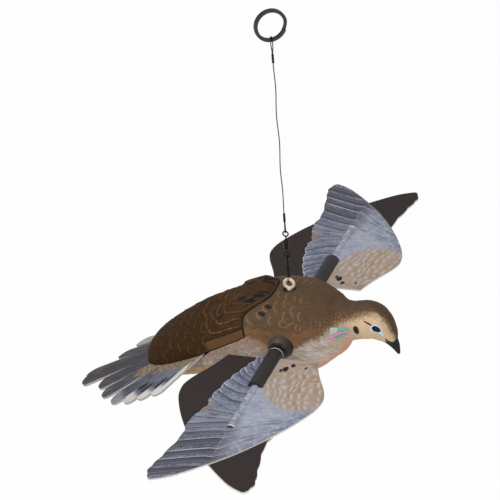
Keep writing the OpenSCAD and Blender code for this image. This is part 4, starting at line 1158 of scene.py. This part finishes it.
def paintVane(k, d, c, length, side):
    left = length - d
    farPale = side > 0 and k >= tailForm["covertFrom"]
    outer = min(1.0, max(0.0, (k - 2.5) / 1.5)) if side < 0 else 0.0
    paint = np.tile(hexToLinear(tailForm["base"][k]), (len(d), 1))
    streak = blotches(d * 0.22 + np.abs(c) * 4, c * 9, 1.0, k)
    mottled(paint, streak, ("#38373d", 0.45, 0.9, 0.45), ("#8d93a8", 0.5, 0.1, 0.4 * min(1, k / 3)))
    brush(paint, "#756c62", ease(blotches(d * 0.3, c * 5, 2.0, 9), 0.5, 0.85) * 0.45 * max(0.0, 1 - k / 3))
    if farPale:
        brush(paint, "#9b9dab", np.full(len(d), 0.6))
        brush(paint, tailForm["farBase"], ease(30 - left, 0, 16) * 0.95)
    bar = ease(left, 14, 17) * ease(29 + 3 * c - left, 0, 5)
    brush(paint, "#1d1b20", bar * ease(np.abs(c - 0.15), 0.02, 0.3) * outer * (0.5 + 0.5 * min(1, k / 5)))
    brush(paint, "#dedad3", ease(14 - left, 0, 5) * outer * (0.4 + 0.6 * min(1, k / 5)))
    brush(paint, "#b9b6b2", ease(c, 0.82, 0.97) * (0.12 + 0.6 * outer))
    brush(paint, "#bab7b2", ease(1.6 - left, 0, 1.2) * (0.25 + 0.5 * outer))
    brush(paint, "#28262b", ease(-c, 0.8, 0.97) * 0.5)
    if k == len(tailForm["angles"]) - 1:
        brush(paint, "#e2dfd9", ease(c, 0.1, 0.5))
    brush(paint, "#313036", ease(0.09 - np.abs(c), 0, 0.05) * 0.6 * ease(left, 6, 12))
    if k >= tailForm["covertFrom"]:
        covert = ease(tailForm["starts"][k] + 26 - k * 1.5 - d + 4 * np.cos(c * 6), 0, 5)
        near, _, _, depth = featherRows(300 - d, c * 7 + 40 * k, 5.0, 6.0, 1.6)
        brush(paint, "#94806a", covert * 0.92)
        brush(paint, "#6b5946", covert * ease(depth, 1.0, 5.0) * 0.6)
        brush(paint, "#b3a28a", covert * ease(0.7 - np.abs(near), 0, 0.5) * 0.5)
    return paint


def makeVane(k, side, under):
    name = "tail_vane_%d_%s_%s" % (k, "left" if side > 0 else "right", "under" if under else "over")
    length = tailForm["lengths"][k]
    bm = bmesh.new()
    verts, column, row = gridSheet(bm, tailForm["long"], tailForm["wide"])
    start = tailForm["starts"][k]
    d = start + (length - tailForm["tipInset"] - start) * column / tailForm["long"]
    c = 2 * row / tailForm["wide"] - 1
    full = length - tailForm["tip"]
    taper = tailForm["root"] + (tailForm["tip"] - tailForm["root"]) * d / full
    rounded = np.sqrt(np.maximum(tailForm["tip"] ** 2 - np.maximum(d - full, 0) ** 2, 0.01))
    half = np.minimum(taper, rounded) - tailForm["sideInset"]
    angle = math.radians(tailForm["angles"][k])
    px = tailForm["fanX"] - d * math.cos(angle) + c * half * math.sin(angle)
    py = np.maximum(d * math.sin(angle) + c * half * math.cos(angle), 0)
    stack = tailForm["air"] + tailForm["layer"] * (len(tailForm["angles"]) - 1 - k)
    pz = -stack if under else bodyForm["tailThick"] + stack
    local = np.stack((px, side * (py * math.cos(droop) + pz * math.sin(droop)),
                      bodyForm["tailRidge"] - py * math.sin(droop) + pz * math.cos(droop)), -1)
    mesh = laidSheet(bm, name, verts, toFrame(local), (side < 0) == under)
    paint = paintVane(k, d, c, length, side)
    if under:
        brush(paint, "#a9a9b0", np.full(len(d), 0.35))
    writePaint(mesh, paint, np.stack((d, c * half + 20 * k), 1))
    addObject(name, mesh, "bird", tailMaterial)


# Printed film on the tail: a little duller, and streaked along each feather
tailMaterial = makePlumage("vinyl film, printed on the tail", 0.55, (5.0, 0.5), 0.04, 0.09)
for k in range(len(tailForm["angles"])):
    for side in (1, -1):
        for under in (False, True):
            makeVane(k, side, under)
print("tail vanes laid")

# Marks brushed on the head, each an outline in the photograph's pixels
headMarks = {
    "eye_ring": ("#bcd3ee", 0.1, [
        (370, 328.6), (371.1, 325.9), (373.2, 324.7), (375.6, 324.5), (378.4, 325.9), (380.6, 328.2),
        (381.9, 331), (383.2, 334), (384.2, 336.9), (381.2, 334.8), (378.3, 333.1), (375, 332.6),
        (372.2, 331.6), (370.6, 330.2)]),
    "eye_pupil": ("#0c0b0c", 0.22, [
        (371.8, 328.2), (372.6, 326.6), (374.2, 325.9), (376.4, 326.3), (378.7, 327.6), (380.2, 329.6),
        (380.6, 331.1), (379, 332.1), (376.6, 332), (374, 331.2), (372.4, 330)]),
    "eye_line": ("#181516", 0.12, [
        (362.8, 320.7), (364.6, 321), (368.2, 322.6), (371.9, 325), (371.2, 326.2), (367.4, 324),
        (364.2, 322)]),
    "cheek_spot": ("#1d1919", 0.55, [
        (353.2, 328.2), (354, 326.4), (355.6, 325.9), (357.4, 327), (358.6, 329.6), (359.1, 332.4),
        (358, 333.5), (356.2, 333.4), (354.6, 331.8), (353.5, 330)]),
    "neck_green": ("#6fa58c", 0.55, [
        (337, 327.4), (349, 327.2), (349, 329.6), (341.6, 331), (336.4, 332.5)]),
    "neck_green_worn": ("#86ad9a", 0.55, [
        (329.7, 327.6), (337.2, 327.4), (336.6, 332.5), (335.3, 332.8), (328.8, 334.8)]),
    "neck_pink": ("#c08ab0", 0.57, [
        (349, 329.7), (349, 331.9), (340.9, 333.8), (333.9, 336.6), (326.9, 340.6), (328.8, 335),
        (335.6, 332.8)]),
    "neck_green_low": ("#6fa58c", 0.55, [
        (346.6, 332.9), (346.2, 334.5), (340.9, 337), (336, 340.5), (335.4, 337), (341, 334.4)]),
    "gape": ("#1a1716", 0.12, [
        (384.5, 338.1), (386.4, 339.2), (389, 340.9), (392, 341.8), (389.6, 343.4), (386.2, 341.2)]),
}
markForm = {
    "round": ("eye_pupil", "cheek_spot"),
    "roundStep": 0.34,
    "cuts": 5,
    "grain": 1.2,
    "bump": 0.03,
    "rough": 0.5,
    "glossy": 0.2,
    "spread": 0.04,
    "wornSpread": 0.1,
    "specular": 0.25,
    "bare": "#ded7d0",
}


# Mark cut out on the near side of the head, lifted off the skin, and mirrored to the far side
def makeMark(name, code, lift, outline):
    bm = bmesh.new()
    if name in markForm["round"]:
        looped = outline[-1:] + outline + outline[:2]
        outline = alongRows(looped, np.arange(1, len(outline) + 1, markForm["roundStep"]))
    corners = [bm.verts.new((x, -y, 0)) for x, y in outline]
    bm.faces.new(corners)
    bmesh.ops.triangulate(bm, faces=bm.faces[:])
    bmesh.ops.subdivide_edges(bm, edges=bm.edges[:], cuts=markForm["cuts"], use_grid_fill=True)
    lost = []
    for v in bm.verts:
        ray = pixelRay(v.co.x, -v.co.y)
        hit, normal, _, _ = bodyTree.ray_cast(cameraPlace, ray)
        if hit is None or normal.dot(ray) > 0:
            lost.append(v)
        else:
            v.co = hit + normal * lift * mm
    bmesh.ops.delete(bm, geom=lost, context="VERTS")
    bmesh.ops.recalc_face_normals(bm, faces=bm.faces[:])
    facing = sum(f.calc_area() * f.normal.dot(cameraBack) for f in bm.faces)
    if facing < 0:
        bmesh.ops.reverse_faces(bm, faces=bm.faces[:])
    copied = bmesh.ops.duplicate(bm, geom=bm.verts[:] + bm.edges[:] + bm.faces[:])["geom"]
    bmesh.ops.scale(bm, vec=(1, -1, 1), verts=[g for g in copied if isinstance(g, bmesh.types.BMVert)])
    bmesh.ops.reverse_faces(bm, faces=[g for g in copied if isinstance(g, bmesh.types.BMFace)])
    mesh = meshFrom(bm, name)
    mesh.polygons.foreach_set("use_smooth", np.ones(len(mesh.polygons), bool))
    # brushed enamel: small even patches with a faint shine, and a gloss on the pupil alone. The second tone
    # is a little lighter, or the bare paint under worn colour
    lighter = [min(255, int(int(code[i:i + 2], 16) * 1.12) + 3) for i in (1, 3, 5)]
    worn = name.endswith("worn")
    second = markForm["bare"] if worn else "#%02x%02x%02x" % tuple(lighter)
    rough = markForm["glossy"] if name == "eye_pupil" else markForm["rough"]
    spread = markForm["wornSpread"] if worn else markForm["spread"]
    finish = "enamel, brushed " + name.replace("_", " ")
    material = makeFinish(finish, (code, second), markForm["grain"], rough, bump=markForm["bump"],
                          spread=spread, specular=markForm["specular"])
    addObject(name, mesh, "bird", material)


for name, (code, lift, outline) in headMarks.items():
    makeMark(name, code, lift, outline)
print("head marks brushed")

# Finishes of the solids that stay: tones, grain in millimetres, roughness, metal, bump in millimetres
finishes = {
    # nearly black, with a soft sheen along the wire
    "spring steel, oxide black and tumbled": (("#352f2c", "#5a514c"), 0.8, 0.3, 1.0, 0.02, ["split_ring"]),
    # dull brown black, uneven where it was pressed
    "copper, crimped and blackened": (
        ("#262120", "#332d2b"), 0.6, 0.42, 1.0, 0.04, ["upper_crimp", "lower_crimp"]),
    # dark, with small clear highlights
    "brass, black nickel plated": (
        ("#2a201a", "#3a2d25"), 0.5, 0.36, 1.0, 0.01,
        ["swivel_upper_eye", "swivel_barrel", "swivel_lower_eye"]),
    # warm off-white with half a gloss
    "nylon, moulded cream": (("#dcc7ae", "#eddcc6"), 0.9, 0.48, 0.0, 0.03, ["eye_screw"]),
    # even black with a satin shine
    "nylon, moulded black": (
        ("#1a1818", "#262424"), 0.7, 0.45, 0.0, 0.02, ["eye_flange_nut", "switch_body"]),
    # cool light grey with a blurred shine
    "steel, zinc plated": (
        ("#8a8b8d", "#a3a4a6"), 0.6, 0.34, 0.9, 0.01,
        ["eye_lock_nut", "tail_screws", "clamp_screws", "motor_clamp"]),
    # dark brown without paint, dull and slightly pebbled
    "polyethylene, moulded inside": (
        ("#1c1510", "#2a2019"), 1.4, 0.6, 0.0, 0.05, ["body_shell", "back_cover"]),
    # mid grey with a broken shine
    "steel, turned": (("#7b7d81", "#919398"), 0.5, 0.4, 0.9, 0.02, ["drive_shaft"]),
    # yellow metal, softly bright
    "brass, turned": (("#a07f3e", "#b8964f"), 0.5, 0.38, 0.9, 0.02, ["nose_weight"]),
    # chalky off-white with no shine
    "foam board, die cut": (("#b7b2ab", "#c9c4bd"), 0.8, 0.7, 0.0, 0.05, ["tail_fan"]),
    # grainy gold brown
    "bronze, sintered": (("#967a45", "#b3945a"), 0.3, 0.5, 0.8, 0.03, ["bush_right", "bush_left"]),
    # bright and smooth
    "steel, nickel plated and drawn": (("#b2b5b9", "#c3c6ca"), 1.2, 0.3, 0.9, 0.01, ["motor_can"]),
    # blue black with a gritty half gloss
    "nylon, glass filled black": (
        ("#1d2126", "#292e34"), 0.5, 0.5, 0.0, 0.04, ["motor_cap_right", "motor_cap_left", "battery_box"]),
    # even satin ivory
    "abs, moulded ivory": (("#d2cdc4", "#dedad2"), 1.0, 0.5, 0.0, 0.02, ["motor_cradle"]),
    # glossy amber wrap
    "film, shrunk on cells": (("#a8742f", "#c08a45"), 2.0, 0.28, 0.3, 0.01, ["battery_cells"]),
    # small bright silver strips
    "spring brass, nickel plated": (("#bfc2c6", "#d0d3d6"), 0.6, 0.32, 0.9, 0.01, ["battery_contacts"]),
    # clear red that marks the knob
    "nylon, moulded red": (("#b52f26", "#cd3e33"), 0.6, 0.35, 0.0, 0.02, ["switch_slider"]),
    # smooth white, slightly waxy
    "acetal, turned white": (("#e9e7e0", "#f5f3ee"), 0.5, 0.4, 0.0, 0.01, ["washer_right", "washer_left"]),
    # soft black with a long blurred highlight
    "polyvinyl tube, extruded satin black": (
        ("#221e1e", "#302c2c"), 0.7, 0.44, 0.0, 0.03, ["sleeve_right", "sleeve_left"]),
    # pale grey with a faint fibre
    "glass fibre rod, pultruded": (
        ("#bdb9b1", "#d2cec7"), 0.6, 0.5, 0.0, 0.03, ["wing_rod_right", "wing_rod_left"]),
}
for name, (tones, grain, rough, metal, bump, members) in finishes.items():
    material = makeFinish(name, tones, grain, rough, metal, bump)
    for member in members:
        dress(nodes[member], material)


# Grey dome with a darker collar where the shaft leaves it, and painted light above and painted shade below
domeForm = {"collar": 7.2, "skirt": 7.9, "reach": 7.0, "litSide": (-0.6, 0, 0.8)}


def makeDome():
    material = makeFinish("abs, moulded grey with painted light and shade", ("#37312f", "#5c5450"), 1.6, 0.38, bump=0.05,
                          spread=0.08, specular=0.2)
    tree = material.node_tree
    shader = tree.nodes["Principled BSDF"]
    mottledGrey = shader.inputs["Base Color"].links[0].from_socket
    coords = addNode(tree, "TexCoord")
    flat = addNode(tree, "Mapping", {"Location": shaftPlace * (-mm, 0, -mm), "Scale": (1, 0, 1)},
                   {"Vector": coords.outputs["Object"]})
    away = addNode(tree, "VectorMath", {"operation": "LENGTH"}, {0: flat})
    skirt = addNode(tree, "MapRange", {1: domeForm["collar"] * mm, 2: domeForm["skirt"] * mm},
                    {0: away.outputs["Value"]})
    tone = addNode(tree, "Mix", {"data_type": "RGBA", 6: rgba("#211d1c")}, {0: skirt, 7: mottledGrey})
    # painted light and shade: the upper rear side keeps the grey, and the lower front side goes nearly black
    lean = addNode(tree, "VectorMath", {"operation": "DOT_PRODUCT", 1: domeForm["litSide"]}, {0: flat})
    upper = addNode(tree, "MapRange", {1: -domeForm["reach"] * mm, 2: domeForm["reach"] * mm},
                    {0: lean.outputs["Value"]})
    shaded = addNode(tree, "Mix", {"data_type": "RGBA", 6: rgba("#171412")}, {0: upper, 7: tone.outputs[2]})
    feed(tree, shader, {"Base Color": shaded.outputs[2]})
    return material


dome = makeDome()
for side in ("right", "left"):
    dress(nodes["bearing_dome_" + side], dome)


# Foam board with a dark film on both faces, whose cut edge shows white
def makeWingBoard():
    material, tree, shader = newMaterial("foam board, dark film on both faces", 0.15)
    coords = addNode(tree, "TexCoord")
    half = wingForm["thick"] / 2
    # the cut edge is what lies between the two faces
    parts = addNode(tree, "SeparateXYZ", {}, {0: coords.outputs["Object"]})
    height = addNode(tree, "Math", {"operation": "ADD", 1: -bodyForm["shaft"][2] * mm}, {0: parts.outputs[2]})
    level = addNode(tree, "Math", {"operation": "ABSOLUTE"}, {0: height})
    middle = addNode(tree, "Math", {"operation": "SUBTRACT", 1: half * mm}, {0: level})
    fromMiddle = addNode(tree, "Math", {"operation": "ABSOLUTE"}, {0: middle})
    cut = addNode(tree, "Math", {"operation": "LESS_THAN", 1: (half - 0.03) * mm}, {0: fromMiddle})
    grit = addNode(tree, "TexNoise", {"Scale": 1 / (1.5 * mm), "Detail": 4.0},
                   {"Vector": coords.outputs["Object"]})
    film = addNode(tree, "Mix", {"data_type": "RGBA", 6: rgba("#322a2a"), 7: rgba("#3b3231")}, {0: grit})
    foam = addNode(tree, "Mix", {"data_type": "RGBA", 6: rgba("#dedbd5"), 7: rgba("#efece7")}, {0: grit})
    tone = addNode(tree, "Mix", {"data_type": "RGBA"}, {0: cut, 6: film.outputs[2], 7: foam.outputs[2]})
    relief = addNode(tree, "Bump", {"Distance": 0.03 * mm, "Strength": 0.5}, {"Height": grit})
    feed(tree, shader, {"Base Color": tone.outputs[2], "Normal": relief})
    shader.inputs["Roughness"].default_value = 0.6
    return material


board = makeWingBoard()
for name in ("wing_top_right", "wing_top_left", "wing_bottom_right", "wing_bottom_left"):
    dress(nodes[name], board)
print("finishes given")

# Pale floor far under the hanging bird, and soft light from above, in metres. The pulp of the paper is in
# millimetres
stageForm = {
    "floor": -1.1,
    "size": 14.0,
    "white": 0.97,
    "pulp": 1.1111,
    "lamps": {"soft_top": ((-0.6, -0.7, 1.5), 1.6, 20), "soft_front": ((1.0, -1.6, 0.5), 1.2, 12)},
    "aim": (0, 0, -0.25),
    "skyLight": 0.42,
    "skySeen": 1.0,
}


def makeFloor():
    bm = bmesh.new()
    bmesh.ops.create_grid(bm, x_segments=2, y_segments=2, size=stageForm["size"] / 2)
    bmesh.ops.translate(bm, vec=(0, 0, stageForm["floor"]), verts=bm.verts[:])
    obj = linked("studio_floor", meshFrom(bm, "studio_floor"))
    material, tree, shader = newMaterial("paper backdrop, matt white")
    coords = addNode(tree, "TexCoord")
    pulp = addNode(tree, "TexNoise", {"Scale": 1 / (stageForm["pulp"] * mm)},
                   {"Vector": coords.outputs["Object"]})
    tone = addNode(tree, "Mix", {"data_type": "RGBA", 6: rgba("#f7f7f7"), 7: rgba("#fbfbfb")}, {0: pulp})
    feed(tree, shader, {"Base Color": tone.outputs[2]})
    shader.inputs["Roughness"].default_value = 0.9
    # an even white where it is seen, and paper where it only throws light back
    path = addNode(tree, "LightPath")
    seen = addNode(tree, "Math", {"operation": "MAXIMUM"},
                   {0: path.outputs["Is Camera Ray"], 1: path.outputs["Is Glossy Ray"]})
    shown = addNode(tree, "Math", {"operation": "MAXIMUM"}, {0: seen, 1: path.outputs["Is Transmission Ray"]})
    share = addNode(tree, "Math", {"operation": "MULTIPLY", 1: stageForm["white"]}, {0: shown})
    glow = addNode(tree, "Emission", {"Color": (1, 1, 1, 1), "Strength": 1.0})
    both = addNode(tree, "MixShader", {}, {0: share, 1: shader, 2: glow})
    # seen from below, the paper lets the underside show
    geometry = addNode(tree, "NewGeometry")
    clear = addNode(tree, "BsdfTransparent")
    oneSided = addNode(tree, "MixShader", {}, {0: geometry.outputs["Backfacing"], 1: both, 2: clear})
    feed(tree, tree.nodes["Material Output"], {"Surface": oneSided})
    dress(obj, material)


def addLamp(name, place, size, power):
    data = bpy.data.lights.new(name, "AREA")
    data.shape = "DISK"
    data.size = size
    data.energy = power
    obj = linked(name, data)
    obj.location = place
    obj.rotation_euler = (Vector(stageForm["aim"]) - Vector(place)).to_track_quat("-Z", "Y").to_euler()


makeFloor()
for name, lamp in stageForm["lamps"].items():
    addLamp(name, *lamp)
world = bpy.data.worlds.new("studio")
bpy.context.scene.world = world
world.use_nodes = True
sky = world.node_tree
pathSeen = addNode(sky, "LightPath")
strength = addNode(sky, "MapRange", {3: stageForm["skyLight"], 4: stageForm["skySeen"]},
                   {0: pathSeen.outputs["Is Camera Ray"]})
feed(sky, sky.nodes["Background"], {"Strength": strength})
sky.nodes["Background"].inputs["Color"].default_value = (1, 1, 1, 1)
bpy.context.scene.view_settings.view_transform = "Standard"
print("stage lit")
